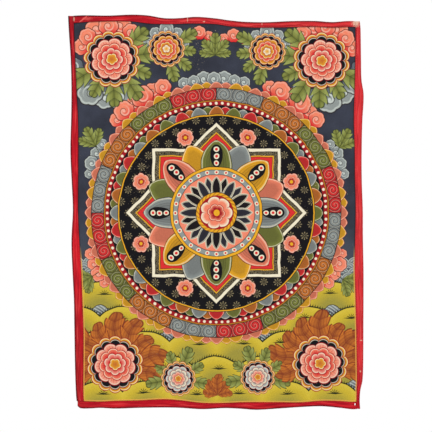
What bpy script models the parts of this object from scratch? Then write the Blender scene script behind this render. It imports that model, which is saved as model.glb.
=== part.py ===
# A painted cotton hanging, with red cloth binding folded over its four edges.
#
# The frame: X runs to the right, Z runs up, and the painted face looks along -Y.
# The origin is the middle of the top edge, which is held up.
# Every size is in metres.

import math
from collections import namedtuple

import bmesh
import bpy

CANVAS_THICKNESS = 0.0010
BINDING_THICKNESS = 0.0010
CLEARANCE = 0.0005  # between the canvas and the binding, and between two bindings

HALF_WIDTH = 0.182
HEIGHT = 0.484
RIM = 0.0090  # how deep the outermost cells of the canvas are, about the binding's depth
CANVAS_COLUMNS = 26
CANVAS_ROWS = 34
FOLD_STEPS = 4  # round the fold of a binding
LEG_STEPS = 2  # across each leg of a binding
SHORTEST_STEP = 0.0010  # along a binding

LOWER_CURL = 0.0035  # how far the bottom edge comes forward, from having been rolled up
CURL_LENGTH = 0.150
BOW = 0.0015  # how far the middle stands behind the two sides

# The binding's fold is a half circle round the canvas's edge.
LEG_OFFSET = CANVAS_THICKNESS / 2 + CLEARANCE + BINDING_THICKNESS / 2
FOLD_OUTSET = LEG_OFFSET + BINDING_THICKNESS / 2
DEEPEST_BINDING = 0.012

# The outer edge of the whole cloth, and how wide the binding shows beside it. A side edge
# reads its X by height, and the top and bottom edges read their Z by their place across.
EdgeRow = namedtuple("EdgeRow", "along edge binding")

LEFT_EDGE = [
    EdgeRow(*row)
    for row in (
        (-0.4880, -0.1712, 0.0085),
        (-0.4780, -0.1738, 0.0090),
        (-0.4640, -0.1749, 0.0094),
        (-0.4270, -0.1761, 0.0108),
        (-0.3895, -0.1768, 0.0114),
        (-0.3520, -0.1774, 0.0106),
        (-0.3145, -0.1791, 0.0110),
        (-0.2770, -0.1803, 0.0098),
        (-0.2395, -0.1790, 0.0065),
        (-0.2020, -0.1803, 0.0082),
        (-0.1645, -0.1815, 0.0098),
        (-0.1270, -0.1808, 0.0086),
        (-0.0895, -0.1805, 0.0062),
        (-0.0520, -0.1814, 0.0056),
        (-0.0145, -0.1836, 0.0064),
        (0.0040, -0.1844, 0.0067),
    )
]

RIGHT_EDGE = [
    EdgeRow(*row)
    for row in (
        (-0.4880, 0.1798, 0.0042),
        (-0.4770, 0.1793, 0.0041),
        (-0.4645, 0.1803, 0.0048),
        (-0.4520, 0.1830, 0.0070),
        (-0.4270, 0.1838, 0.0083),
        (-0.3895, 0.1839, 0.0090),
        (-0.3520, 0.1840, 0.0101),
        (-0.3145, 0.1840, 0.0110),
        (-0.2770, 0.1834, 0.0099),
        (-0.2395, 0.1834, 0.0090),
        (-0.2020, 0.1823, 0.0086),
        (-0.1645, 0.1823, 0.0089),
        (-0.1270, 0.1828, 0.0107),
        (-0.0960, 0.1841, 0.0115),
        (-0.0770, 0.1816, 0.0084),
        (-0.0520, 0.1811, 0.0072),
        (-0.0145, 0.1803, 0.0062),
        (-0.0040, 0.1793, 0.0056),
    )
]

TOP_EDGE = [
    EdgeRow(*row)
    for row in (
        (-0.1850, 0.0022, 0.0100),
        (-0.1650, 0.0034, 0.0088),
        (-0.1350, 0.0033, 0.0071),
        (-0.1050, 0.0043, 0.0086),
        (-0.0850, 0.0034, 0.0102),
        (-0.0650, 0.0005, 0.0076),
        (-0.0450, 0.0006, 0.0073),
        (-0.0250, 0.0018, 0.0085),
        (0.0000, 0.0000, 0.0073),
        (0.0150, -0.0020, 0.0075),
        (0.0350, -0.0038, 0.0069),
        (0.0600, -0.0043, 0.0069),
        (0.0950, -0.0034, 0.0077),
        (0.1250, -0.0035, 0.0071),
        (0.1450, -0.0048, 0.0069),
        (0.1650, -0.0037, 0.0074),
        (0.1800, -0.0044, 0.0074),
    )
]

BOTTOM_EDGE = [
    EdgeRow(*row)
    for row in (
        (-0.1726, -0.4842, 0.0064),
        (-0.1690, -0.4868, 0.0090),
        (-0.1550, -0.4869, 0.0088),
        (-0.1450, -0.4863, 0.0080),
        (-0.1250, -0.4871, 0.0097),
        (-0.0950, -0.4863, 0.0094),
        (-0.0650, -0.4860, 0.0104),
        (-0.0450, -0.4862, 0.0095),
        (-0.0170, -0.4876, 0.0080),
        (0.0100, -0.4864, 0.0065),
        (0.0300, -0.4870, 0.0080),
        (0.0500, -0.4883, 0.0096),
        (0.0800, -0.4868, 0.0078),
        (0.1050, -0.4854, 0.0060),
        (0.1320, -0.4846, 0.0070),
        (0.1550, -0.4864, 0.0085),
        (0.1700, -0.4880, 0.0092),
        (0.1800, -0.4873, 0.0090),
    )
]

# The cloth's own unevenness. Each swell is a soft mound of a height towards the viewer,
# or a hollow where it is negative, that dies away over its spreads.
Swell = namedtuple("Swell", "x z spread_x spread_z height")

SWELLS = [
    Swell(*row)
    for row in (
        # along the top edge
        (-0.184, 0.002, 0.034, 0.042, 0.0026),
        (-0.096, 0.000, 0.030, 0.080, 0.0024),
        (-0.055, 0.000, 0.024, 0.065, -0.0017),
        (-0.022, 0.000, 0.024, 0.060, 0.0016),
        (0.056, 0.000, 0.038, 0.095, -0.0022),
        (0.104, 0.000, 0.030, 0.075, 0.0016),
        (0.180, 0.000, 0.030, 0.040, 0.0022),
        # down the left side
        (-0.184, -0.160, 0.044, 0.042, 0.0022),
        (-0.180, -0.238, 0.038, 0.032, -0.0018),
        (-0.180, -0.290, 0.040, 0.036, 0.0016),
        (-0.174, -0.488, 0.034, 0.034, -0.0018),
        # down the right side
        (0.184, -0.100, 0.040, 0.030, 0.0024),
        (0.184, -0.178, 0.038, 0.036, -0.0016),
        (0.184, -0.330, 0.044, 0.070, 0.0020),
        (0.182, -0.462, 0.032, 0.028, -0.0022),
        # along the bottom edge
        (-0.072, -0.488, 0.036, 0.050, -0.0014),
        (-0.018, -0.488, 0.028, 0.046, 0.0018),
        (0.050, -0.488, 0.030, 0.050, 0.0018),
        (0.128, -0.488, 0.032, 0.060, -0.0022),
        # across the body
        (-0.060, -0.300, 0.110, 0.100, 0.0016),
        (0.080, -0.190, 0.120, 0.090, -0.0014),
    )
]

PAINT_COLOUR = (0.235, 0.135, 0.095, 1.0)
PAINT_ROUGHNESS = 0.85
BINDING_COLOUR = (0.552, 0.020, 0.028, 1.0)
BINDING_ROUGHNESS = 0.62


def clear_scene():
    for old in list(bpy.data.objects):
        bpy.data.objects.remove(old, do_unlink=True)


def read_edge(rows, column, at):
    """A column of an edge's table at a place along it, on a smooth curve through the rows."""
    places = [row.along for row in rows]
    values = [getattr(row, column) for row in rows]
    at = min(max(at, places[0]), places[-1])
    low = max(i for i in range(len(places) - 1) if places[i] <= at)

    def slope(i):
        before = max(i - 1, 0)
        after = min(i + 1, len(places) - 1)
        return (values[after] - values[before]) / (places[after] - places[before])

    span = places[low + 1] - places[low]
    t = (at - places[low]) / span
    start = (1 + 2 * t) * (1 - t) ** 2 * values[low]
    start += t * (1 - t) ** 2 * span * slope(low)
    end = t**2 * (3 - 2 * t) * values[low + 1]
    end += t**2 * (t - 1) * span * slope(low + 1)
    return start + end


def relief(x, z):
    """How far the cloth stands towards the viewer: its bow, its curl and its swells."""
    bow = BOW * ((x / HALF_WIDTH) ** 2 - 1)
    bottom = read_edge(BOTTOM_EDGE, "edge", x)
    curled = max(0.0, 1 - (z - bottom) / CURL_LENGTH)
    total = bow + LOWER_CURL * curled**2
    for swell in SWELLS:
        across = (x - swell.x) / swell.spread_x
        down = (z - swell.z) / swell.spread_z
        total += swell.height * math.exp(-(across**2) - down**2)
    return total


def cloth_y(x, z):
    """The Y of the cloth's middle. It is 0 at the origin."""
    return relief(0, 0) - relief(x, z)


def grid_shares(cells, length):
    """Shares of a length from 0 to 1, even but for a first and a last cell of RIM."""
    rim = RIM / length
    inner_cells = cells - 2
    inner = [rim + (1 - 2 * rim) * i / inner_cells for i in range(inner_cells + 1)]
    return [0.0, *inner, 1.0]


COLUMN_SHARES = grid_shares(CANVAS_COLUMNS, 2 * HALF_WIDTH)
ROW_SHARES = grid_shares(CANVAS_ROWS, HEIGHT)


def canvas_plan(column, row):
    """The X and Z of a point of the canvas's grid, inside its four bound edges."""
    u = COLUMN_SHARES[column]
    v = ROW_SHARES[row]
    x = (2 * u - 1) * HALF_WIDTH
    z = 0
    for _ in range(4):  # each pass brings X and Z nearer to the edges that bound them
        low = read_edge(BOTTOM_EDGE, "edge", x) + FOLD_OUTSET
        high = read_edge(TOP_EDGE, "edge", x) - FOLD_OUTSET
        z = low + (high - low) * v
        left = read_edge(LEFT_EDGE, "edge", z) + FOLD_OUTSET
        right = read_edge(RIGHT_EDGE, "edge", z) - FOLD_OUTSET
        x = left + (right - left) * u
    return x, z


def binding_section(leg):
    """The binding's section as (inward, forward) pairs, from its front leg round the fold."""
    legs = [leg * (1 - i / LEG_STEPS) for i in range(LEG_STEPS)]
    front = [(inward, LEG_OFFSET) for inward in legs]
    fold = []
    for i in range(FOLD_STEPS + 1):
        turn = math.pi * i / FOLD_STEPS
        fold.append((-LEG_OFFSET * math.sin(turn), LEG_OFFSET * math.cos(turn)))
    back = [(inward, -LEG_OFFSET) for inward in reversed(legs)]
    return front + fold + back


def sheet_from_grid(name, columns, rows, place, thickness, material, collection):
    """A grid with its point at each column and row moved to place(column, row), then
    given its thickness."""
    shape = bmesh.new()
    bmesh.ops.create_grid(shape, x_segments=columns, y_segments=rows, size=0.5)
    for vert in shape.verts:
        column = round((vert.co.x + 0.5) * columns)
        row = round((vert.co.y + 0.5) * rows)
        vert.co = place(column, row)
    mesh = bpy.data.meshes.new(name)
    shape.to_mesh(mesh)
    shape.free()
    mesh.materials.append(material)
    obj = bpy.data.objects.new(name, mesh)
    collection.objects.link(obj)
    solid = obj.modifiers.new("thickness", "SOLIDIFY")
    solid.thickness = thickness
    solid.offset = 0
    solid.use_even_offset = True
    return obj


def cloth_material(name, colour, roughness):
    material = bpy.data.materials.new(name)
    material.use_nodes = True
    shader = material.node_tree.nodes["Principled BSDF"]
    shader.inputs["Base Color"].default_value = colour
    shader.inputs["Roughness"].default_value = roughness
    shader.inputs["Metallic"].default_value = 0
    return material


def make_canvas(collection):
    def place(column, row):
        x, z = canvas_plan(column, row)
        return x, cloth_y(x, z), z

    material = cloth_material("painted_cotton", PAINT_COLOUR, PAINT_ROUGHNESS)
    sheet_from_grid(
        "painted_canvas",
        CANVAS_COLUMNS,
        CANVAS_ROWS,
        place,
        CANVAS_THICKNESS,
        material,
        collection,
    )


def make_binding(name, edge, inward, start, end, canvas_places, material, collection):
    """A strip folded over one edge from start to end along it, with its sections where the
    canvas's own points are. inward is the direction into the cloth, as (x, z)."""
    upright = inward[0] != 0
    inner_places = [
        place
        for place in canvas_places
        if start + SHORTEST_STEP < place < end - SHORTEST_STEP
    ]
    places = [start, *inner_places, end]

    def place(column, row):
        along = places[column]
        outer = read_edge(edge, "edge", along)
        section = binding_section(read_edge(edge, "binding", along) - FOLD_OUTSET)
        depth, forward = section[row]
        across = outer + (inward[0] + inward[1]) * (FOLD_OUTSET + depth)
        x, z = (across, along) if upright else (along, across)
        return x, cloth_y(x, z) - forward, z

    sheet_from_grid(
        name,
        len(places) - 1,
        2 * LEG_STEPS + FOLD_STEPS,
        place,
        BINDING_THICKNESS,
        material,
        collection,
    )


def innermost(edge, sign, low, high):
    """How far into the cloth a binding reaches between two places along its edge. sign is
    1 where inward is the edge's growing direction, and -1 where it is the falling one."""
    steps = 8
    places = [low + (high - low) * i / steps for i in range(steps + 1)]
    reaches = [
        read_edge(edge, "edge", at) + sign * read_edge(edge, "binding", at)
        for at in places
    ]
    return max(reaches) if sign > 0 else min(reaches)


def make_bindings(collection):
    material = cloth_material("red_binding", BINDING_COLOUR, BINDING_ROUGHNESS)
    top_left = read_edge(TOP_EDGE, "edge", LEFT_EDGE[-1].edge)
    top_right = read_edge(TOP_EDGE, "edge", RIGHT_EDGE[-1].edge)
    bottom_right = read_edge(BOTTOM_EDGE, "edge", RIGHT_EDGE[0].edge)
    bottom_left = BOTTOM_EDGE[0].along

    # The bottom binding covers the lower left corner, and the left one ends on it. The left
    # and right ones cover the other three corners.
    left_start = innermost(BOTTOM_EDGE, 1, bottom_left, bottom_left + DEEPEST_BINDING)
    top_start = innermost(LEFT_EDGE, 1, top_left - DEEPEST_BINDING, top_left)
    top_end = innermost(RIGHT_EDGE, -1, top_right - DEEPEST_BINDING, top_right)
    bottom_end = innermost(RIGHT_EDGE, -1, bottom_right, bottom_right + DEEPEST_BINDING)

    rows = range(CANVAS_ROWS + 1)
    columns = range(CANVAS_COLUMNS + 1)
    make_binding(
        "binding_left",
        LEFT_EDGE,
        (1, 0),
        left_start + CLEARANCE,
        top_left,
        [canvas_plan(0, row)[1] for row in rows],
        material,
        collection,
    )
    make_binding(
        "binding_right",
        RIGHT_EDGE,
        (-1, 0),
        bottom_right,
        top_right,
        [canvas_plan(CANVAS_COLUMNS, row)[1] for row in rows],
        material,
        collection,
    )
    make_binding(
        "binding_top",
        TOP_EDGE,
        (0, -1),
        top_start + CLEARANCE,
        top_end - CLEARANCE,
        [canvas_plan(column, CANVAS_ROWS)[0] for column in columns],
        material,
        collection,
    )
    make_binding(
        "binding_bottom",
        BOTTOM_EDGE,
        (0, 1),
        bottom_left,
        bottom_end - CLEARANCE,
        [canvas_plan(column, 0)[0] for column in columns],
        material,
        collection,
    )


def build():
    clear_scene()
    collection = bpy.data.collections.new("painted_hanging")
    bpy.context.scene.collection.children.link(collection)
    make_canvas(collection)
    make_bindings(collection)


build()
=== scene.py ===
import math
from functools import partial

import bpy
import numpy as np
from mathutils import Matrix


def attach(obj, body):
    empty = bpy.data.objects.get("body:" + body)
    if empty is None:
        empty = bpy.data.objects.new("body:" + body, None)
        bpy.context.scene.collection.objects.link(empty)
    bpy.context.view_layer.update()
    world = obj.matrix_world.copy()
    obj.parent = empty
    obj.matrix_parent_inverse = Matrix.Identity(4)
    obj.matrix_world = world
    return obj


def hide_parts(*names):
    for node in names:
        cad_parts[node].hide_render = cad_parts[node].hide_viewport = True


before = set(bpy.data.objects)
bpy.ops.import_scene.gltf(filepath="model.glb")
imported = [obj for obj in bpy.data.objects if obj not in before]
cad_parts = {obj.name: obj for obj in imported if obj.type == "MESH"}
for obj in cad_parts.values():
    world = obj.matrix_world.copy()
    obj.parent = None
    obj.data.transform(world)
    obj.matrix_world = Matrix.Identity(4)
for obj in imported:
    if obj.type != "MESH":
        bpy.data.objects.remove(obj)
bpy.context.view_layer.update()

print("the frame is loaded")

# X runs to the right, Z up, and the painted face looks along -Y. Meshes are in metres, and
# what is painted is worked out in millimetres.
perMetre = 1000.0
tenthsPerMetre = 10000
fullTurn = 2 * math.pi

# The hanging cloth. An edge's rows are (place along it, where the outer edge is, how wide the
# binding shows), and a swell is (x, z, spread across, spread up, height towards the viewer), in
# tenths of a millimetre. The other values are in metres.
clothForm = {
    "left": [
        (-4880, -1712, 85), (-4780, -1738, 90), (-4640, -1749, 94), (-4270, -1761, 108),
        (-3895, -1768, 114), (-3520, -1774, 106), (-3145, -1791, 110), (-2770, -1803, 98),
        (-2395, -1790, 65), (-2020, -1803, 82), (-1645, -1815, 98), (-1270, -1808, 86),
        (-895, -1805, 62), (-520, -1814, 56), (-145, -1836, 64), (40, -1844, 67),
    ],
    "right": [
        (-4880, 1798, 42), (-4770, 1793, 41), (-4645, 1803, 48), (-4520, 1830, 70),
        (-4270, 1838, 83), (-3895, 1839, 90), (-3520, 1840, 101), (-3145, 1840, 110),
        (-2770, 1834, 99), (-2395, 1834, 90), (-2020, 1823, 86), (-1645, 1823, 89),
        (-1270, 1828, 107), (-960, 1841, 115), (-770, 1816, 84), (-520, 1811, 72),
        (-145, 1803, 62), (-40, 1793, 56),
    ],
    "top": [
        (-1850, 22, 100), (-1650, 34, 88), (-1350, 33, 71), (-1050, 43, 86), (-850, 34, 102),
        (-650, 5, 76), (-450, 6, 73), (-250, 18, 85), (0, 0, 73), (150, -20, 75),
        (350, -38, 69), (600, -43, 69), (950, -34, 77), (1250, -35, 71), (1450, -48, 69),
        (1650, -37, 74), (1800, -44, 74),
    ],
    "bottom": [
        (-1726, -4842, 64), (-1690, -4868, 90), (-1550, -4869, 88), (-1450, -4863, 80),
        (-1250, -4871, 97), (-950, -4863, 94), (-650, -4860, 104), (-450, -4862, 95),
        (-170, -4876, 80), (100, -4864, 65), (300, -4870, 80), (500, -4883, 96),
        (800, -4868, 78), (1050, -4854, 60), (1320, -4846, 70), (1550, -4864, 85),
        (1700, -4880, 92), (1800, -4873, 90),
    ],
    "halfWidth": 0.182,
    "bow": 0.0015,
    "lowerCurl": 0.0035,
    "curlLength": 0.150,
    "swells": [
        (-1840, 20, 340, 420, 26), (-960, 0, 300, 800, 24), (-550, 0, 240, 650, -17),
        (-220, 0, 240, 600, 16), (560, 0, 380, 950, -22), (1040, 0, 300, 750, 16),
        (1800, 0, 300, 400, 22), (-1840, -1600, 440, 420, 22), (-1800, -2380, 380, 320, -18),
        (-1800, -2900, 400, 360, 16), (-1740, -4880, 340, 340, -18),
        (1840, -1000, 400, 300, 24), (1840, -1780, 380, 360, -16), (1840, -3300, 440, 700, 20),
        (1820, -4620, 320, 280, -22), (-720, -4880, 360, 500, -14), (-180, -4880, 280, 460, 18),
        (500, -4880, 300, 500, 18), (1280, -4880, 320, 600, -22), (-600, -3000, 1100, 1000, 16),
        (800, -1900, 1200, 900, -14),
    ],
    "puckerDepth": 0.00016,  # small waves that the seam draws up beside the binding
    "puckerPitch": 0.0083,
    "puckerReach": 0.013,
    "puckerDrift": (1.7, 61.0),  # how far a wave strays from an even pitch, and how fast
    "puckerSwing": (0.6, 0.4, 37.0),  # how high it is, how much that varies, and how fast
}


def readEdge(side, column, at):
    # A cubic through the table's rows, whose slope at a row is that of its two neighbours' chord.
    table = np.array(clothForm[side]) / tenthsPerMetre
    places = table[:, 0]
    values = table[:, column]
    count = len(places)
    after = np.minimum(np.arange(count) + 1, count - 1)
    before = np.maximum(np.arange(count) - 1, 0)
    slopes = (values[after] - values[before]) / (places[after] - places[before])
    at = np.clip(np.asarray(at, float), places[0], places[-1])
    low = np.clip(np.searchsorted(places, at, side="right") - 1, 0, count - 2)
    span = places[low + 1] - places[low]
    t = (at - places[low]) / span
    start = (1 + 2 * t) * (1 - t) ** 2 * values[low] + t * (1 - t) ** 2 * span * slopes[low]
    end = t**2 * (3 - 2 * t) * values[low + 1] + t**2 * (t - 1) * span * slopes[low + 1]
    return start + end


def outerEdge(side, at):
    return readEdge(side, 1, at)


def bindingWidth(side, at):
    return readEdge(side, 2, at)


def edgeDistances(x, z):
    # How far a point lies inside each outer edge, measured straight across or straight up.
    return {
        "left": x - outerEdge("left", z),
        "right": outerEdge("right", z) - x,
        "top": outerEdge("top", x) - z,
        "bottom": z - outerEdge("bottom", x),
    }


def relief(x, z):
    # How far the cloth stands towards the viewer: a bow across, a curl at the bottom that grows
    # with the square of the way down, and soft mounds that die away as a bell curve does.
    form = clothForm
    total = form["bow"] * ((x / form["halfWidth"]) ** 2 - 1)
    curled = np.maximum(0, 1 - (z - outerEdge("bottom", x)) / form["curlLength"])
    total = total + form["lowerCurl"] * curled**2
    for swellX, swellZ, across, upward, height in np.array(form["swells"]) / tenthsPerMetre:
        away = ((x - swellX) / across) ** 2 + ((z - swellZ) / upward) ** 2
        total = total + height * np.exp(-away)
    return total


def puckers(x, z):
    # Waves that run along each edge and fade with the square of the distance from it.
    form = clothForm
    drift, driftTurn = form["puckerDrift"]
    usual, varied, variedTurn = form["puckerSwing"]
    total = 0
    for side, distance in edgeDistances(x, z).items():
        along = z if side in ("left", "right") else x
        even = along * (fullTurn / form["puckerPitch"])
        wave = np.sin(even + drift * np.sin(along * driftTurn))
        swing = usual + varied * np.sin(along * variedTurn + len(side))
        total = total + wave * swing * np.exp(-((distance / form["puckerReach"]) ** 2))
    return form["puckerDepth"] * total


def clothY(x, z):
    # The Y of the cloth's middle. It is near 0 at the origin.
    return relief(0.0, 0.0) - relief(x, z) - puckers(x, z)


def meshFrom(name, points, quads, materialIndex=None):
    # One mesh from an array of points and an array of four-cornered faces.
    mesh = bpy.data.meshes.new(name)
    mesh.vertices.add(len(points))
    mesh.vertices.foreach_set("co", points.astype(np.float32).ravel())
    mesh.loops.add(quads.size)
    mesh.loops.foreach_set("vertex_index", quads.astype(np.int32).ravel())
    mesh.polygons.add(len(quads))
    mesh.polygons.foreach_set("loop_start", np.arange(0, quads.size, 4, dtype=np.int32))
    if materialIndex is not None:
        mesh.polygons.foreach_set("material_index", materialIndex.astype(np.int32))
    mesh.update(calc_edges=True)
    mesh.polygons.foreach_set("use_smooth", np.ones(len(quads), bool))
    mesh.update()
    return mesh


def addObject(name, data):
    made = bpy.data.objects.new(name, data)
    bpy.context.scene.collection.objects.link(made)
    return made


def pieceFrom(name, mesh, materials):
    piece = addObject(name, mesh)
    for material in materials:
        mesh.materials.append(material)
    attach(piece, "root")
    return piece


def addMap(mesh, name, corners):
    layer = mesh.uv_layers.new(name=name)
    layer.data.foreach_set("uv", corners.astype(np.float32).ravel())


def addNumbers(mesh, name, values):
    # One number at each point, for a material to read.
    layer = mesh.attributes.new(name, "FLOAT", "POINT")
    layer.data.foreach_set("value", values.astype(np.float32).ravel())


def gridQuads(columns, rows):
    # Faces of a grid of points whose index is row * (columns + 1) + column.
    column, row = np.meshgrid(np.arange(columns), np.arange(rows))
    first = (row * (columns + 1) + column).ravel()
    return np.stack([first, first + 1, first + columns + 2, first + columns + 1], axis=1)


# A white surround with a soft key from the upper left and a weak fill. level is how bright a
# white cloth is under them.
studio = {
    "level": 1.28,
    "sky": 1.0,
    "key": (-0.9, -1.7, 0.75, 0.9, 12.0),  # x, y, z, side, watts
    "fill": (1.2, -1.8, -0.3, 1.4, 3.0),
    "lens": 85.0,
    "sensor": 36.0,
    "frameWidth": 0.540,  # what the picture's width spans at the cloth
    "centreZ": -0.247,
}

# The painter's colours, as the eye sees them, out of 255.
palette = {
    "slate": (62, 66, 80),
    "slateDeep": (46, 48, 58),
    "black": (20, 18, 22),
    "ink": (38, 24, 26),
    "olive": (209, 183, 54),
    "oliveLight": (222, 197, 68),
    "oliveGreen": (164, 152, 64),
    "orange": (206, 118, 46),
    "brown": (168, 92, 42),
    "rust": (126, 50, 34),
    "salmon": (246, 137, 106),
    "pink": (247, 176, 154),
    "red": (224, 50, 50),
    "deepRed": (164, 26, 36),
    "leaf": (124, 129, 60),
    "leafLight": (160, 168, 92),
    "leafDark": (58, 66, 36),
    "grass": (44, 48, 26),
    "greyGreen": (130, 136, 112),
    "mist": (148, 155, 152),
    "mistLight": (206, 214, 206),
    "mistDeep": (96, 104, 112),
    "dust": (158, 144, 108),
    "cream": (248, 238, 208),
    "gold": (242, 176, 40),
    "goldDark": (186, 122, 34),
    "canvas": (206, 190, 156),
    "border": (246, 180, 86),
    "binding": (200, 14, 34),
    "bindingBright": (238, 34, 46),
    "bindingHighlight": (240, 98, 92),
    "bindingDeep": (142, 8, 24),
    "bindingEdge": (78, 10, 18),
    "thread": (150, 18, 32),
    "scuff": (240, 190, 164),
}


def linear(level):
    share = level / 255
    return share / 12.92 if share <= 0.04045 else ((share + 0.055) / 1.055) ** 2.4


def colour(name):
    # What reflects the studio's light as the palette's colour.
    return tuple(linear(level) / studio["level"] for level in palette[name]) + (1.0,)


# Shading trees are put together from fields: values that change over the cloth. A node is made
# after the ones that feed it, and a link joins sockets of one type, so that Cycles can take the
# nodes in order and keep few values at a time.
easel = {"tree": None}


class Field:
    def __init__(self, output):
        self.output = output

    def __add__(self, other):
        return calc("ADD", self, other)

    def __radd__(self, other):
        return calc("ADD", other, self)

    def __sub__(self, other):
        return calc("SUBTRACT", self, other)

    def __rsub__(self, other):
        return calc("SUBTRACT", other, self)

    def __mul__(self, other):
        return calc("MULTIPLY", self, other)

    def __rmul__(self, other):
        return calc("MULTIPLY", other, self)

    def __truediv__(self, other):
        return calc("DIVIDE", self, other)

    def __neg__(self):
        return calc("MULTIPLY", self, -1.0)


def newNode(kind, **settings):
    node = easel["tree"].nodes.new(kind)
    node.hide = True
    for name, value in settings.items():
        setattr(node, name, value)
    return node


def feed(node, slot, value):
    # A value is a field, a number or the name of a colour in the palette.
    if isinstance(value, Field):
        easel["tree"].links.new(value.output, node.inputs[slot])
    else:
        node.inputs[slot].default_value = colour(value) if isinstance(value, str) else value


def calc(operation, *values):
    node = newNode("ShaderNodeMath", operation=operation)
    for slot, value in enumerate(values):
        feed(node, slot, value)
    return Field(node.outputs[0])


# The math nodes in use, by what they give.
lower = partial(calc, "MINIMUM")
higher = partial(calc, "MAXIMUM")
size = partial(calc, "ABSOLUTE")
power = partial(calc, "POWER")
fraction = partial(calc, "FRACT")
wholePart = partial(calc, "FLOOR")
sineOf = partial(calc, "SINE")
cosineOf = partial(calc, "COSINE")
angleOf = partial(calc, "ARCTAN2")


def lengthOf(x, y):
    return calc("SQRT", calc("MULTIPLY_ADD", x, x, y * y))


def fade(value, low, high):
    # 0 at low, 1 at high, straight between.
    node = newNode("ShaderNodeMapRange", clamp=True)
    feed(node, 0, value)
    node.inputs[1].default_value = low
    node.inputs[2].default_value = high
    return Field(node.outputs[0])


def weigh(value, low, high, strength, within=None):
    # As fade, times a strength, and only as far as within says.
    share = fade(value, low, high)
    if within:
        share = within * share
    return share * strength


def inside(distance, soft=0.22):
    # 1 where a distance is negative.
    return fade(distance, soft, -soft)


def stroke(distance, half, soft=0.22):
    # 1 within half of where a distance is 0.
    return fade(size(distance), half + soft, half - soft)


def blend(base, top, mask, kind="MIX"):
    # One colour over another, as far as the mask says.
    node = newNode("ShaderNodeMix", data_type="RGBA", blend_type=kind)
    feed(node, 0, mask)
    feed(node, 6, base)
    feed(node, 7, top)
    return Field(node.outputs[2])


def dim(base, level):
    # A colour made lighter or darker by a level.
    grey = newNode("ShaderNodeCombineColor")
    for slot in range(3):
        feed(grey, slot, level)
    return blend(base, Field(grey.outputs[0]), 1.0, "MULTIPLY")


def pick(share, names):
    # The first colour for a share from 0 to 1/n, the next up to 2/n, and so on.
    node = newNode("ShaderNodeValToRGB")
    node.color_ramp.interpolation = "CONSTANT"
    stops = node.color_ramp.elements
    while len(stops) < len(names):
        stops.new(0.5)
    for index, name in enumerate(names):
        stops[index].position = index / len(names)
        stops[index].color = colour(name)
    feed(node, 0, share)
    return Field(node.outputs[0])


def noise(place, scale, detail=2.0, roughness=0.5, output=0):
    node = newNode("ShaderNodeTexNoise")
    feed(node, "Vector", place)
    for slot, value in (("Scale", scale), ("Detail", detail), ("Roughness", roughness)):
        feed(node, slot, value)
    return Field(node.outputs[output])


def split(value, kind="XYZ"):
    # The three numbers of a vector, or of a colour where kind is Color. Cycles takes each
    # without a change of type.
    node = newNode("ShaderNodeSeparate" + kind)
    feed(node, 0, value)
    return [Field(output) for output in node.outputs]


def join(x, y, z):
    node = newNode("ShaderNodeCombineXYZ")
    for slot, value in enumerate((x, y, z)):
        feed(node, slot, value)
    return Field(node.outputs[0])


def objectPlace(scale=perMetre):
    # Object coordinates times a scale, in millimetres where none is given.
    place = newNode("ShaderNodeTexCoord")
    node = newNode("ShaderNodeVectorMath", operation="SCALE")
    feed(node, 0, Field(place.outputs["Object"]))
    feed(node, "Scale", scale)
    return Field(node.outputs[0])


def attribute(name, output="Fac"):
    return Field(newNode("ShaderNodeAttribute", attribute_name=name).outputs[output])


def startMaterial(name, finish):
    # A Principled surface with the fixed values of its finish, ready to be painted.
    material = bpy.data.materials.new(name)
    material.use_nodes = True
    easel["tree"] = material.node_tree
    for socket, value in finish.items():
        feed(material.node_tree.nodes["Principled BSDF"], socket, value)
    return material


def finishMaterial(material, base, height=None, strength=0.0, distance=0.0):
    # Gives a material its colour and, where there is a height, the bump of it.
    shader = material.node_tree.nodes["Principled BSDF"]
    feed(shader, "Base Color", base)
    if height:
        bump = newNode("ShaderNodeBump")
        feed(bump, "Strength", strength)
        feed(bump, "Distance", distance)
        feed(bump, "Height", height)
        feed(shader, "Normal", Field(bump.outputs[0]))
    return material


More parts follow.
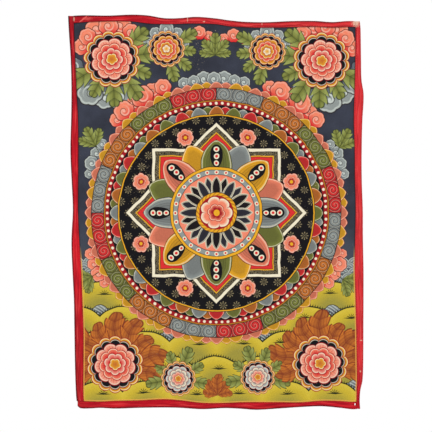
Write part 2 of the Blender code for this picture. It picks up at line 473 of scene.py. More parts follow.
# What grows round the medallion, in millimetres. Turns are in degrees.
gardenPlan = {
    "bouquets": [
        # x, z, radius, tone, leaves, first leaf's turn, last leaf's turn, leaf length, leaf tone
        (-130, -51, 26, 0, 7, -150, 40, 40, 0),
        (132, -53, 26, 0, 7, -220, -30, 40, 0),
        (-62, -38, 17, 2, 4, -75, 30, 28, 0),
        (64, -41, 17, 2, 4, 150, 255, 28, 0),
        (-126, -432, 26, 0, 9, -15, 195, 44, 1),
        (130, -431, 26, 0, 9, -15, 195, 44, 1),
        (-47, -450, 16, 1, 6, -10, 190, 27, 0),
        (52, -448, 16, 1, 6, -10, 190, 27, 0),
    ],
    "sprays": [
        # x, z, turn, length, leaves, tone
        (-150, -160, 118, 27, 3, 0),
        (154, -162, 62, 27, 3, 0),
        (-154, -322, 212, 26, 3, 0),
        (158, -326, -32, 26, 3, 0),
        (-1, -46, 90, 28, 5, 0),
        (2, -470, 90, 26, 5, 1),
    ],
    "garlands": [
        # middle's x and z, first turn, last turn, reach, lobes, largest lobe, tone: clouds round
        # the medallion and behind the bouquets
        (0.5, -243, 78, 104, 164, 7, 11, 0),
        (0.5, -243, 113, 137, 167, 6, 15, 2),
        (0.5, -243, 43, 67, 167, 6, 15, 2),
        (0.5, -243, 149, 163, 164, 4, 10, 0),
        (0.5, -243, 17, 31, 164, 4, 10, 0),
        (0.5, -243, 198, 212, 163, 4, 10, 2),
        (0.5, -243, -32, -18, 163, 4, 10, 2),
        (-130, -51, 34, 158, 37, 7, 15, 2),
        (132, -53, 22, 146, 37, 7, 15, 2),
        (-130, -51, 192, 304, 44, 6, 17, 0),
        (132, -53, -124, -12, 44, 6, 17, 0),
        (-62, -38, 20, 160, 21, 5, 10, 0),
        (64, -41, 20, 160, 21, 5, 10, 0),
    ],
    "clouds": [
        # x, z, length, turn, lobes, largest lobe, tone
        (-21, -22, 24, 0, 3, 9, 2),
        (22, -25, 24, 0, 3, 9, 2),
    ],
}

# How what grows is set out: shares of a motif's own length or radius, and turns in degrees.
growth = {
    "leafStart": 0.70,  # how far a leaf starts from the middle of its blossom
    "leafVaries": 0.13,
    "leafBeat": 2.3,
    "sprayShorter": 0.14,  # what each leaf of a spray loses to the one beside it
    "sprayTurn": 40.0,
    "archRise": 0.16,
    "archSmaller": 1.1,
    "archTurn": 70.0,
    "garlandLeast": 0.72,
    "garlandSwells": 0.28,
    "garlandSmaller": 0.14,  # what every second lobe loses
    "garlandOut": 0.35,
    "leafOval": (0.5, 0.62, 0.46),  # a leaf's middle, and half its oval's length and width
    "blossomDepth": 1.5,  # how deep in a motif a face has to lie to take it
    "otherDepth": 1.35,
    "nowhere": 9.0,
}


def bouquetLeaves(x, z, radius, count, first, last, length, tone):
    # Leaves that fan out from under a blossom.
    for index in range(count):
        turn = first + (last - first) * index / (count - 1)
        stalkX = x + growth["leafStart"] * radius * math.cos(math.radians(turn))
        stalkZ = z + growth["leafStart"] * radius * math.sin(math.radians(turn))
        longer = 1.0 + growth["leafVaries"] * math.sin(growth["leafBeat"] * index + x)
        yield (stalkX, stalkZ, length * longer, turn, tone)


def sprayLeaves(x, z, turn, length, count, tone):
    # Leaves that spread from one stalk, the outer ones shorter.
    for index in range(count):
        place = index - (count - 1) / 2
        shorter = 1.0 - growth["sprayShorter"] * abs(place)
        yield (x, z, length * shorter, turn + growth["sprayTurn"] * place, tone)


def cloudLobes(x, z, length, turn, count, radius, tone):
    # Lobes along a low arch, largest in the middle.
    along = math.radians(turn)
    for index in range(count):
        share = index / (count - 1) - 0.5
        rise = growth["archRise"] * length * math.cos(math.pi * share)
        lobeX = x + share * length * math.cos(along) - rise * math.sin(along)
        lobeZ = z + share * length * math.sin(along) + rise * math.cos(along)
        smaller = 1.0 - growth["archSmaller"] * share**2
        yield (lobeX, lobeZ, radius * smaller, turn + 90.0 - growth["archTurn"] * share, tone)


def garlandLobes(x, z, first, last, reach, count, radius, tone):
    # Lobes along an arc, that swell and shrink in turn.
    for index in range(count):
        share = index / (count - 1)
        turn = first + (last - first) * share
        swell = growth["garlandLeast"] + growth["garlandSwells"] * math.sin(math.pi * share)
        swell = radius * swell * (1.0 - growth["garlandSmaller"] * (index % 2))
        out = reach + growth["garlandOut"] * swell
        lobeX = x + out * math.cos(math.radians(turn))
        lobeZ = z + out * math.sin(math.radians(turn))
        yield (lobeX, lobeZ, swell, turn, tone)


def intoLayers(lobes):
    # Puts each lobe on the layer where it overlaps the lobes already there least.
    layers = [[], []]
    farAway = 900.0
    for lobe in lobes:
        overlaps = []
        for layer in layers:
            gaps = [math.hypot(lobe[0] - x, lobe[1] - z) - radius for x, z, radius, _, _ in layer]
            overlaps.append(lobe[2] - min(gaps, default=farAway))
        layers[overlaps[1] < overlaps[0]].append(lobe)
    return layers


def gardenMotifs():
    # Leaves and lobes are on two layers each, so that neighbours overlap.
    blossoms, leaves, curls = [], [], []
    for x, z, radius, tone, count, first, last, length, leafTone in gardenPlan["bouquets"]:
        blossoms.append((x, z, radius, 17.0 * len(blossoms), tone))
        leaves += bouquetLeaves(x, z, radius, count, first, last, length, leafTone)
    for row in gardenPlan["sprays"]:
        leaves += sprayLeaves(*row)
    for row in gardenPlan["clouds"]:
        curls += cloudLobes(*row)
    for row in gardenPlan["garlands"]:
        curls += garlandLobes(*row)
    curlBack, curlFront = intoLayers(curls)
    return {
        "curlBack": curlBack,
        "curlFront": curlFront,
        "leafBack": leaves[::2],
        "leafFront": leaves[1::2],
        "blossomPlace": blossoms,
    }


def placeMotifs(mesh, name, motifs, points, quads):
    # Each face takes the motif that it lies deepest in, and its corners take their own place in
    # that motif: along and across it, in its own length or radius. The third number is the
    # motif's tone and 1, or 0 where there is none. A leaf's depth is that of an ellipse about
    # its middle, any other motif's that of a circle.
    x, z, length, turn, tone = np.array(motifs, float).T
    cosine = np.cos(np.radians(turn))
    sine = np.sin(np.radians(turn))
    corners = points[quads][:, :, [0, 2]] * perMetre
    middle = corners.mean(axis=1)
    nowhere = growth["nowhere"]
    least = growth["blossomDepth" if name == "blossomPlace" else "otherDepth"]

    def localPlace(at, chosen):
        acrossX = at[..., 0] - x[chosen]
        upZ = at[..., 1] - z[chosen]
        along = (acrossX * cosine[chosen] + upZ * sine[chosen]) / length[chosen]
        beside = (upZ * cosine[chosen] - acrossX * sine[chosen]) / length[chosen]
        return along, beside

    everyMotif = np.arange(len(x))[None, :]
    along, beside = localPlace(middle[:, None, :], everyMotif)
    if name.startswith("leaf"):
        ovalMiddle, ovalLength, ovalWidth = growth["leafOval"]
        depth = np.hypot((along - ovalMiddle) / ovalLength, beside / ovalWidth)
    else:
        depth = np.hypot(along, beside)
    nearest = depth.argmin(axis=1)
    covered = depth.min(axis=1) < least
    along, beside = localPlace(corners, nearest[:, None])
    values = np.zeros((len(mesh.polygons), 4, 3))
    values[: len(quads), :, 0] = np.where(covered[:, None], along, nowhere)
    values[: len(quads), :, 1] = np.where(covered[:, None], beside, nowhere)
    values[: len(quads), :, 2] = np.where(covered, tone[nearest] + 1, 0)[:, None]
    layer = mesh.attributes.new(name, "FLOAT_VECTOR", "CORNER")
    layer.data.foreach_set("vector", values.astype(np.float32).ravel())


def fillShape(under, distance, tone, rim, core, ink, lines):
    # A painted shape: its tone deepens from core inwards, a pale line follows its edge at rim,
    # and an ink line runs round it. All are distances inside the edge. Where lines isn't 0, fine
    # lines that far apart follow the edge too.
    shade = blend(tone, "ink", fade(-distance, rim, core) * 0.38)
    if lines:
        hatch = stroke(fraction(distance / lines) - 0.5, 0.10, 0.10)
        shade = blend(shade, "ink", hatch * 0.45)
    shade = blend(shade, "cream", stroke(distance + rim, rim * 0.42) * 0.55)
    shade = blend(under, shade, inside(distance))
    return blend(shade, ink, stroke(distance, 0.34))


def petalRing(under, radius, turn, count, low, high, tones, ink, rim, core, lines=0.0):
    # Two rows of petals that point outwards, the back row seen between the front one. A petal's
    # half width is (1 - t^2.4)^0.8 of half its share of the ring, t running from low to high.
    step = higher((radius - low) * (1.0 / (high - low)), 0.0)
    half = power(higher(1.0 - power(step, 2.4), 0.0), 0.8) * 0.5
    arc = radius * (fullTurn / count)
    for row in range(2):
        cell = turn * (count / fullTurn) + (0.5 * row + 64)
        distance = higher((size(fraction(cell) - 0.5) - half) * arc, radius - high)
        share = fraction((wholePart(cell) + 0.5 + row) * (1.0 / len(tones)))
        under = fillShape(under, distance, pick(share, tones), rim, core, ink, lines * row)
    return under


def aroundRing(radius, turn, count, middle, shift=0.0):
    # The place in one of count equal shares of a ring: along it, and out from its middle.
    cell = fraction(turn * (count / fullTurn) + (64.5 + shift)) - 0.5
    return cell * (middle * fullTurn / count), radius - middle


def bands(under, distance, *rows):
    # Each row's fill is painted where the distance is less than its edge, row after row.
    for edge, fill in rows:
        under = blend(under, fill, inside(distance - edge))
    return under


def scallops(under, rho, phi, petals, reach, notch, turn, tone, depth, unit=1.0, veins=None):
    # One row of round petals: the outline is reach, less notch where two petals meet.
    lobe = size(cosineOf(phi * (petals / 2) + turn))
    distance = rho - (power(lobe, 0.55) * notch + (reach - notch))
    shade = blend(tone, depth, fade(distance, -0.04 * unit, -0.24 * unit))
    paleLine = stroke(distance + 0.045 * unit, 0.016 * unit, 0.010 * unit)
    shade = blend(shade, "cream", paleLine * 0.75)
    parting = stroke(lobe, 0.10, 0.07) * fade(distance, -0.20 * unit, -0.04 * unit)
    shade = blend(shade, "deepRed", parting * 0.85)
    if veins:
        shade = blend(shade, "deepRed", veins * fade(distance, -0.06 * unit, -0.15 * unit))
    shade = blend(under, shade, inside(distance, 0.012 * unit))
    return blend(shade, "deepRed", stroke(distance, 0.018 * unit, 0.010 * unit))


def chanceIn(cell, row):
    # A number from 0 to 1 that is the same all over a cell, and another in the next row.
    number = wholePart(cell) + 29.0 * row
    dice = newNode("ShaderNodeTexWhiteNoise", noise_dimensions="1D")
    feed(dice, "W", number)
    return Field(dice.outputs["Value"])


def tuft(under, across, upward):
    # A dark tuft of five blades that fan out from its foot, on a long shadow line.
    rho = lengthOf(across, upward * 1.25)
    blade = higher(cosineOf(angleOf(upward, across) * 10.0 + math.pi), 0.0)
    distance = rho - (power(blade, 0.8) * 5.2 + 1.1)
    above = fade(upward, -1.2, -0.4)
    line = inside(size(upward + 0.5) * 9.0 + size(across) - 10.5, 1.5)
    return blend(under, "grass", higher(inside(distance, 0.3) * above, line))


def rocks(under, across, upward):
    # A tall rock between two lower ones, with slanted pale streaks.
    beside = size(across) - 10.0
    reach = lower(lengthOf(across * 1.15, upward) - 13.0, lengthOf(beside, upward) - 8.5)
    streaks = fraction((across * 0.8 + upward) * 0.20 + reach * 0.06)
    stone = blend("mist", "mistDeep", fade(reach, -1.0, -8.0))
    stone = blend(stone, "mistLight", stroke(streaks - 0.5, 0.14, 0.12) * 0.85)
    stone = blend(stone, "ink", stroke(streaks, 0.07, 0.07) * 0.6)
    under = blend(under, stone, inside(reach))
    return blend(under, "ink", stroke(reach, 0.4))


groundPlan = {
    "rippleTop": -300.0,
    "rippleRow": 6.5,
    "ripplePitch": 15.0,
    "rippleRows": 4,
    "rippleReach": 8.6,
    "rippleRings": 2.9,
    "terraceTop": -329.0,
    "terraceRow": 31.0,
    "terracePitch": 58.0,
    "terraceRadius": 40.0,
    "tuftDrop": 13.0,
    "tuftSpread": 18.0,
    "rockRows": (1, 2, 4),
    "rockDrop": 11.0,
}


def waterRipples(under, x, z):
    # Rows of overlapping ripples, each a half disc with rings in it.
    plan = groundPlan
    for row in range(plan["rippleRows"]):
        level = plan["rippleTop"] - plan["rippleRow"] * (row + 1)
        pitch = plan["ripplePitch"]
        across = (fraction(x * (1.0 / pitch) + 0.5 * (row % 2) + 20.0) - 0.5) * pitch
        reach = lengthOf(across, higher(z - level, 0.0))
        rings = fraction(reach * (1.0 / plan["rippleRings"]))
        water = blend("mistDeep", "mist", fade(reach, 1.0, 9.0))
        water = blend(water, "mistLight", stroke(rings - 0.75, 0.12, 0.10) * 0.85)
        under = blend(under, water, inside(reach - plan["rippleReach"]))
        under = blend(under, "ink", stroke(reach - plan["rippleReach"], 0.28))
    return under


def terraces(under, x, z, rows):
    # Rows of wide overlapping domes of meadow, olive at the rim and green lower down, each with
    # a tuft of grass.
    plan = groundPlan
    pitch = plan["terracePitch"]
    for row in rows:
        level = plan["terraceTop"] - plan["terraceRow"] * row
        cell = x * (1.0 / pitch) + (0.5 * (row % 2) + 20.0)
        across = (fraction(cell) - 0.5) * pitch
        upward = z - (level - plan["terraceRadius"])
        distance = lengthOf(across, higher(upward, 0.0)) - plan["terraceRadius"]
        chance = chanceIn(cell, row)
        if row in plan["rockRows"]:
            between = (fraction(cell + 0.5) - 0.5) * pitch
            under = rocks(under, between, z - (level - plan["rockDrop"]))
        grass = blend("oliveLight", "olive", fade(distance, -1.0, -9.0))
        grass = blend(grass, "oliveGreen", fade(distance, -9.0, -24.0))
        tuftX = across - (chance - 0.5) * plan["tuftSpread"]
        tuftZ = z - level + plan["tuftDrop"] + chance * 3.0
        grass = tuft(grass, tuftX, tuftZ)
        blades = power(fraction(across * 0.34 + chance), 2.0) * 3.8
        under = blend(under, "grass", inside(distance - blades, 0.3) * 0.95)
        under = blend(under, grass, inside(distance))
        under = blend(under, "grass", stroke(distance, 0.75))
    return under


# The painting outside the medallion, from the top down to each level. Each part is a material
# of its own, since Cycles can't hold them all in one; where two meet, both paint the same.
# A scratch is a line between two points, by their x and z.
gardenParts = {
    "sky": {
        "downTo": -290.0,
        "rows": (),
        "clouds": True,
        "scratches": [
            (155.5, -17.5, 161.0, -20.0),
            (159.5, -24.0, 167.5, -27.5),
            (164.5, -18.5, 166.5, -21.0),
        ],
    },
    "upper meadow": {"downTo": -378.0, "rows": (0, 1), "clouds": True},
    "lower meadow": {"downTo": -600.0, "rows": (1, 2, 3, 4), "clouds": False},
}


def ground(x, z, blotches, rows):
    # A dark slate sky above ripples of water and a terraced meadow.
    under = blend("slate", "slateDeep", fade(blotches, 0.35, 0.7))
    under = blend(under, "mistDeep", fade(z, -250.0, -310.0) * 0.35)
    if 0 in rows:
        under = waterRipples(under, x, z)
    return terraces(under, x, z, rows)


def motifPlace(name, wander, looseness):
    # A point's place in its motif, moved a little as the brush wanders, and the motif's tone.
    along, beside, tone = split(attribute(name, "Color"), "Color")
    return along + wander[0] * looseness, beside + wander[1] * looseness, tone


def curls(under, name, wander):
    # A cloud's lobe, deep on its inner side and pale at its rim, with a curl in its middle.
    along, beside, tone = motifPlace(name, wander, 0.03)
    rho = lengthOf(along, beside)
    phi = angleOf(beside, along)
    share = tone * (1.0 / 3.0) - (0.5 / 3.0)
    body = pick(share, ("mist", "greyGreen", "salmon"))
    pale = pick(share, ("mistLight", "cream", "pink"))
    deep = pick(share, ("mistDeep", "slate", "red"))
    shade = blend(deep, body, fade(along, -0.75, 0.15))
    spiral = fraction(rho * 2.1 - phi * (1.0 / fullTurn) + 4.15)
    near = inside(rho - 0.52, 0.06)
    shade = blend(shade, pale, stroke(spiral - 0.5, 0.16, 0.08) * near)
    shade = blend(shade, "ink", stroke(spiral - 0.76, 0.06, 0.05) * near * 0.85)
    shade = blend(shade, pale, inside(rho - 0.14, 0.04))
    edge = rho - size(cosineOf(phi * 3.5)) * 0.09 - 0.91
    shade = blend(shade, pale, stroke(edge + 0.13, 0.06, 0.05) * fade(along, -0.5, 0.1) * 0.8)
    here = fade(tone, 0.4, 0.6)
    under = blend(under, shade, inside(edge, 0.02) * here)
    return blend(under, "ink", stroke(edge, 0.035, 0.025) * here)


def leaves(under, name, wander):
    # Half a leaf's width is that of a sine arch along it, cut by a sawtooth that leans forward.
    along, beside, tone = motifPlace(name, wander, 0.012)
    waved = fade(tone, 1.4, 1.6)
    offset = size(beside + sineOf(along * 8.0) * along * waved * 0.06)
    swept = along - offset * (0.62 - 0.12 * waved)
    arch = sineOf(lower(higher(swept, 0.0), 1.0) * math.pi)
    wide = power(higher(arch, 0.0), 0.72) * 0.30
    tooth = fraction(swept * 4.0 + 0.1)
    cut = (1.0 - power(tooth, 0.7)) * (0.42 - 0.12 * waved)
    distance = higher(offset - wide * (1.0 - cut), swept - 0.985)
    share = tone * 0.5 - 0.25
    body = pick(share, ("leaf", "brown"))
    pale = pick(share, ("leafLight", "orange"))
    deep = pick(share, ("leafDark", "rust"))
    shade = blend(body, pale, fade(offset, 0.03, 0.2))
    shade = blend(shade, deep, fade(tooth, 0.42, 0.0) * 0.6)
    shade = blend(shade, deep, stroke(offset, 0.010, 0.012) * 0.9)
    follow = stroke(fraction(offset * 13.0 + along * waved * 1.5) - 0.5, 0.10, 0.12)
    shade = blend(shade, deep, follow * (0.15 + 0.4 * waved))
    here = fade(tone, 0.4, 0.6)
    under = blend(under, shade, inside(distance, 0.012) * here)
    return blend(under, deep, stroke(distance, 0.016, 0.012) * here)


blossomTones = [
    # petals, reach, notch, turn, the rows' outer colours and their inner ones, by tone
    (9, 1.00, 0.17, 0.0, ("pink", "mistLight", "gold"), ("salmon", "mist", "orange")),
    (8, 0.77, 0.15, 0.9, ("salmon", "cream", "salmon"), ("red", "mist", "red")),
    (7, 0.54, 0.12, 0.3, ("pink", "pink", "gold"), ("red", "salmon", "orange")),
    (5, 0.30, 0.08, 0.6, ("gold", "gold", "cream"), ("orange", "orange", "gold")),
]


# The leaflets behind a blossom's petals: how many, reach, notch, outer and inner colour.
collar = [
    (14, 1.36, 0.17, "gold", "brown"),
    (14, 1.21, 0.15, "black", "black"),
]


def blossoms(under, wander):
    # Rows of round petals over a collar of leaflets, the largest first.
    along, beside, tone = motifPlace("blossomPlace", wander, 0.02)
    rho = lengthOf(along, beside)
    phi = angleOf(beside, along)
    here = fade(tone, 0.4, 0.6)
    share = tone * (1.0 / 3.0) - (0.5 / 3.0)
    veins = stroke(fraction(phi * (41 / fullTurn) + 64.0) - 0.5, 0.10, 0.10) * 0.5
    flower = under
    for petals, reach, notch, outer, inner in collar:
        flower = scallops(flower, rho, phi, petals, reach, notch, 0.5, outer, inner)
    for petals, reach, notch, turn, *rings in blossomTones:
        outer, inner = (pick(share, ring) for ring in rings)
        flower = scallops(flower, rho, phi, petals, reach, notch, turn, outer, inner, veins=veins)
    return blend(under, flower, here)


# The two paint materials meet in the middle of the border, where both paint the same.
medallionPlan = {"x": 0.5, "z": -243.0, "scale": 1.06, "border": 140.0}


def smallFlower(under, across, upward, unit, outer, inner):
    # A round flower of two rows of petals with a gold middle.
    rho = lengthOf(across, upward)
    phi = angleOf(upward, across)
    under = scallops(under, rho, phi, 7, unit, 0.18 * unit, 0.0, outer, inner, unit)
    under = scallops(under, rho, phi, 6, 0.56 * unit, 0.12 * unit, 0.5, inner, "deepRed", unit)
    return bands(under, rho, (0.2 * unit, "gold"))


def squiggles(place):
    # Fine winding lines: the level lines of a smooth noise.
    level = noise(place, 0.30, 0.0)
    return stroke(fraction(level * 7.0) - 0.5, 0.16, 0.14)


def scrollBlocks(under, radius, turn, winding):
    # A ring of blocks in four colours, three scrolls in each, that curl to and fro in turn.
    ring, scrolls, perBlock = 140.0, 48, 3.0
    width = ring * fullTurn / scrolls
    cell = turn * (scrolls / fullTurn) + 96.0
    share = fraction((wholePart(cell * (1.0 / perBlock)) + 0.5) * 0.25)
    block = pick(share, ("red", "leaf", "orange", "mist"))
    along = (fraction(cell) - 0.5) * width
    outward = radius - ring
    way = fraction(wholePart(cell) * 0.5) * 4.0 - 1.0
    rho = lengthOf(along, outward)
    spiral = fraction(rho * 0.26 + angleOf(outward * way, along) * (1 / fullTurn) + 4.0)
    block = blend(block, "ink", winding * (fade(rho, 3.0, 7.0) * 0.45 + 0.25))
    block = blend(block, "ink", fade(rho, 5.0, 10.0) * 0.3)
    block = blend(block, "ink", stroke(spiral - 0.28, 0.09, 0.06) * 0.8)
    block = blend(block, "cream", stroke(spiral - 0.52, 0.07, 0.06) * 0.3)
    offMiddle = size(fraction(cell * (1.0 / perBlock)) - 0.5)
    edge = offMiddle * (-perBlock * width) + perBlock / 2 * width
    block = bands(block, edge, (0.4, "ink"))
    return bands(under, radius, (146.8, block))


def nightGround(across, upward):
    # Black, with dotted rosettes on a staggered grid.
    plan = {"pitch": 16.0, "row": 13.6, "outer": 3.6, "inner": 1.9}
    rowPlace = upward * (1.0 / plan["row"]) + 40.5
    shift = fraction(wholePart(rowPlace) * 0.5)
    localX = (fraction(across * (1.0 / plan["pitch"]) + shift + 40.0) - 0.5) * plan["pitch"]
    localY = (fraction(rowPlace) - 0.5) * plan["row"]
    rho = lengthOf(localX, localY)
    phi = angleOf(localY, localX)
    along, outward = aroundRing(rho, phi, 8, plan["outer"])
    dots = inside(lengthOf(along, outward * 0.6) - 0.6, 0.25)
    along, outward = aroundRing(rho, phi, 8, plan["inner"], 0.5)
    dots = higher(dots, inside(lengthOf(along, outward) - 0.4, 0.25))
    dots = higher(dots, inside(rho - 0.5, 0.25))
    return blend("black", "dust", dots * 0.85)


def star(under, across, upward, turn, winding):
    # Two crossed squares, bordered with bands. Inside, each point is coloured in turn.
    upright = higher(size(across), size(upward))
    slanted = (size(across) + size(upward)) * math.sqrt(0.5)
    edge = lower(upright, slanted)
    under = bands(under, edge, (76.4, "ink"), (75.6, "cream"), (72.4, "ink"))
    under = bands(under, edge, (71.8, blend("black", "dust", winding)))
    under = bands(under, edge, (67.4, "gold"), (66.2, "ink"), (65.6, "red"), (61.4, "ink"))
    sector = fraction((wholePart(turn * (8 / fullTurn) + 64.5) + 0.5) * 0.25)
    hatch = stroke(fraction(edge * 0.30) - 0.5, 0.14, 0.10)
    field = pick(sector, ("leaf", "red", "greyGreen", "orange"))
    field = blend(field, "ink", higher(hatch, winding) * 0.5)
    return bands(under, edge, (60.7, field))


def fromMiddle(x, z):
    # Places from the middle of the medallion: across, upward, straight out and the turn.
    unit = 1.0 / medallionPlan["scale"]
    across = (x - medallionPlan["x"]) * unit
    upward = (z - medallionPlan["z"]) * unit
    return across, upward, lengthOf(across, upward), angleOf(upward, across)


def garden(place, x, z, wander, part):
    # A part of what lies outside the medallion's border, and the border's own outer half.
    blotches = noise(place, 0.028, 3.0)
    under = ground(x, z, blotches, part["rows"])
    if part["clouds"]:
        under = curls(under, "curlBack", wander)
        under = curls(under, "curlFront", wander)
    under = leaves(under, "leafBack", wander)
    under = leaves(under, "leafFront", wander)
    under = blossoms(under, wander)
    _, _, radius, turn = fromMiddle(x, z)
    tones = ("gold", "salmon")
    under = petalRing(under, radius, turn, 40, 138.0, 155.0, tones, "deepRed", 0.8, 3.0)
    under = bands(under, radius, (147.6, "ink"))
    under = scrollBlocks(under, radius, turn, squiggles(place))
    for startX, startZ, endX, endZ in part.get("scratches", ()):
        # The distance from a straight line between two points.
        length = math.hypot(endX - startX, endZ - startZ)
        awayX, awayZ = (endX - startX) / length, (endZ - startZ) / length
        passed = (x - startX) * awayX + (z - startZ) * awayZ
        passed = passed - lower(higher(passed, 0.0), length)
        offLine = (z - startZ) * awayX - (x - startX) * awayZ
        under = blend(under, "cream", inside(lengthOf(passed, offLine) - 0.1, 0.25) * 0.4)
    return under


def medallion(place, x, z, wander):
    # Rings about the middle of the cloth, laid on from the border in.
    across, upward, radius, turn = fromMiddle(x, z)
    winding = squiggles(place)
    outerTones = ("red", "leaf", "orange", "mist")
    lotusTones = ("salmon", "mist", "gold", "leaf")

    under = scrollBlocks("ink", radius, turn, winding)
    under = bands(under, radius, (133.4, "ink"), (132.7, "goldDark"), (131.4, "deepRed"))
    bead = lengthOf(*aroundRing(radius, turn, 116, 129.0))
    under = bands(under, bead, (1.6, "cream"))
    under = bands(under, radius, (126.7, "ink"), (126.0, "black"))
    under = petalRing(under, radius, turn, 36, 112.0, 126.0, outerTones, "ink", 0.9, 4.0)
    under = bands(under, radius, (116.6, "ink"), (115.9, "gold"))
    under = bands(under, radius, (114.6, nightGround(across, upward)))

    flowerX, flowerY = aroundRing(radius, turn, 8, 96.0, 0.5)
    under = smallFlower(under, flowerX, flowerY, 10.0, "pink", "salmon")
    under = star(under, across, upward, turn, winding)
    under = petalRing(under, radius, turn, 8, 26.0, 86.0, lotusTones, "ink", 1.6, 9.0, 3.0)
    flowerX, flowerY = aroundRing(radius, turn, 8, 67.0)
    under = bands(under, lengthOf(flowerX * 1.9, flowerY), (13.5, "black"))
    bead = lengthOf(flowerX, size(size(flowerY) - 3.9) - 3.9)
    under = bands(under, bead, (3.1, "cream"), (1.7, "red"))

    under = bands(under, radius, (55.0, "ink"), (54.3, "gold"), (51.4, "ink"))
    bead = lengthOf(*aroundRing(radius, turn, 28, 48.4))
    pearls = bands("mist", bead, (2.5, "cream"), (1.3, "red"))
    under = bands(under, radius, (50.8, pearls), (45.6, "ink"))
    rosy = blend("salmon", "pink", fade(radius, 44.0, 26.0))
    under = bands(under, radius, (45.0, rosy))
    innerTones = ("black", "slateDeep")
    under = petalRing(under, radius, turn, 12, 8.0, 43.0, innerTones, "cream", 1.2, 5.0)
    under = bands(under, radius, (24.5, "ink"))
    rope = fraction(turn * (26 / fullTurn) + radius * 0.22 + 64.0)
    rope = blend("gold", "goldDark", fade(rope, 0.55, 0.75))
    under = bands(under, radius, (23.8, rope), (20.4, "deepRed"))
    return smallFlower(under, across, upward, 19.4, "cream", "salmon")


paintFinish = {"Roughness": 0.85, "Specular IOR Level": 0.12}
cottonFinish = {"Roughness": 0.9, "Specular IOR Level": 0.12}

# How the paint lies, in millimetres. A noise is given as scale, detail and roughness, and what
# is laid over it as where it starts, where it is full and how strong it is.
brush = {
    "coarse": (0.055, 1.0),
    "coarseWander": 2.6,
    "fine": (0.34, 1.0),
    "fineWander": 0.5,
    "wanderMiddle": 1.55,
    "meadowDepth": 296.0,
    "meadowSoft": 12.0,
    # The dark band beside the binding: painted shadow of its edge, with grime.
    "shadowAndGrime": (1.5, 0.3),
    "shadowAndGrimeStrength": 0.65,
    "shadowAndGrimeLost": 0.55,  # how much of the painted shadow and grime the meadow lacks
    "line": (0.65, 0.35),
    "lineGap": 0.8,
    "lineStrength": 0.9,
    "strokes": (0.9, 3.0, 0.6),
    "uneven": (0.2, 0.8, 0.3),
    "darkest": 0.85,
    "rubbed": (0.55, 4.0, 0.7),
    "worn": 0.017,
    "wornShare": 0.35,
    "flakes": (0.865, 0.90, 0.55),
    "thickness": 0.9,
    "bump": (0.35, 0.00012),
}

# The unpainted cotton, in the same way.
cotton = {
    "stains": (0.02, 4.0),
    "stained": (0.45, 0.85, 0.3),
    "slubs": 0.7,
    "slubbed": (0.55, 0.8, 0.3),
    # hollows: painted shade where the weave lies low.
    "hollows": (0.5, 0.0, 0.25),
    "bump": (0.6, 0.0002),
    "pitch": 0.42,  # of the threads, in millimetres
}


def weaveHeight(first, second, pitch):
    # A plain weave: two threads that pass over and under each other, each a sine along its own
    # way, with the sign of the other deciding which is on top.
    one = sineOf(first * (math.pi / pitch))
    two = sineOf(second * (math.pi / pitch))
    return size(one) * 0.5 + size(two) * 0.5 + one * two * 0.25


def makePaint(name, design, *options):
    # A design in paint on the primed canvas. The brush wanders about a millimetre off its lines,
    # by a coarse noise and a fine one.
    material = startMaterial(name, paintFinish)
    place = objectPlace()
    coarseX, coarseZ, _ = split(noise(place, *brush["coarse"], output="Color"), "Color")
    fineX, fineZ, _ = split(noise(place, *brush["fine"], output="Color"), "Color")
    wander = [
        coarse * brush["coarseWander"] + fine * brush["fineWander"] - brush["wanderMiddle"]
        for coarse, fine in ((coarseX, fineX), (coarseZ, fineZ))
    ]
    plainX, _, plainZ = split(place)
    x = plainX + wander[0]
    z = plainZ + wander[1]
    paint = design(place, x, z, wander, *options)

    # Beside the binding an orange line ends the meadow; painted shadow and grime darken the sky.
    rim = attribute("rimGap") * perMetre
    low = inside(z + brush["meadowDepth"], brush["meadowSoft"])
    shadowAndGrime = fade(rim, *brush["shadowAndGrime"]) * (brush["shadowAndGrimeStrength"] - brush["shadowAndGrimeLost"] * low)
    paint = blend(paint, "ink", shadowAndGrime)
    line = stroke(rim - brush["lineGap"], *brush["line"]) * low * brush["lineStrength"]
    paint = blend(paint, "border", line)

    # The brush leaves each colour a little uneven, and small flakes are rubbed off.
    brushed = noise(place, *brush["strokes"])
    paint = dim(paint, weigh(brushed, *brush["uneven"]) + brush["darkest"])
    rubbed = noise(place, *brush["rubbed"])
    worn = noise(place, brush["worn"])
    flakes = weigh(rubbed + worn * brush["wornShare"], *brush["flakes"])
    paint = blend(paint, "canvas", flakes)
    weave = weaveHeight(plainX, plainZ, cotton["pitch"]) + brushed * brush["thickness"]
    return finishMaterial(material, paint, weave, *brush["bump"])


def makeRawCanvas():
    # Unpainted cotton, a little yellow with age, its weave showing.
    material = startMaterial("raw canvas", cottonFinish)
    place = objectPlace()
    x, _, z = split(place)
    stains = noise(place, *cotton["stains"])
    slubs = noise(place, cotton["slubs"])
    tone = blend("canvas", "goldDark", weigh(stains, *cotton["stained"]))
    weave = weaveHeight(x, z, cotton["pitch"])
    # Painted shade in the hollows of the weave.
    tone = blend(tone, "ink", weigh(weave, *cotton["hollows"]))
    tone = blend(tone, "cream", weigh(slubs, *cotton["slubbed"]))
    return finishMaterial(material, tone, weave + slubs, *cotton["bump"])


# A pin hole through the bottom binding and the canvas, near the lower right corner.
pinHole = {
    "x": 0.1734,
    "inward": 0.0061,
    "halfWidth": 0.0008,
    "halfHeight": 0.0016,
    "canvasMargin": 0.0005,
}

panelForm = {
    "columns": 168,
    "rows": 226,
    "thickness": 0.0007,
    "inset": 0.0009,  # how far the canvas stops short of the binding's fold
}


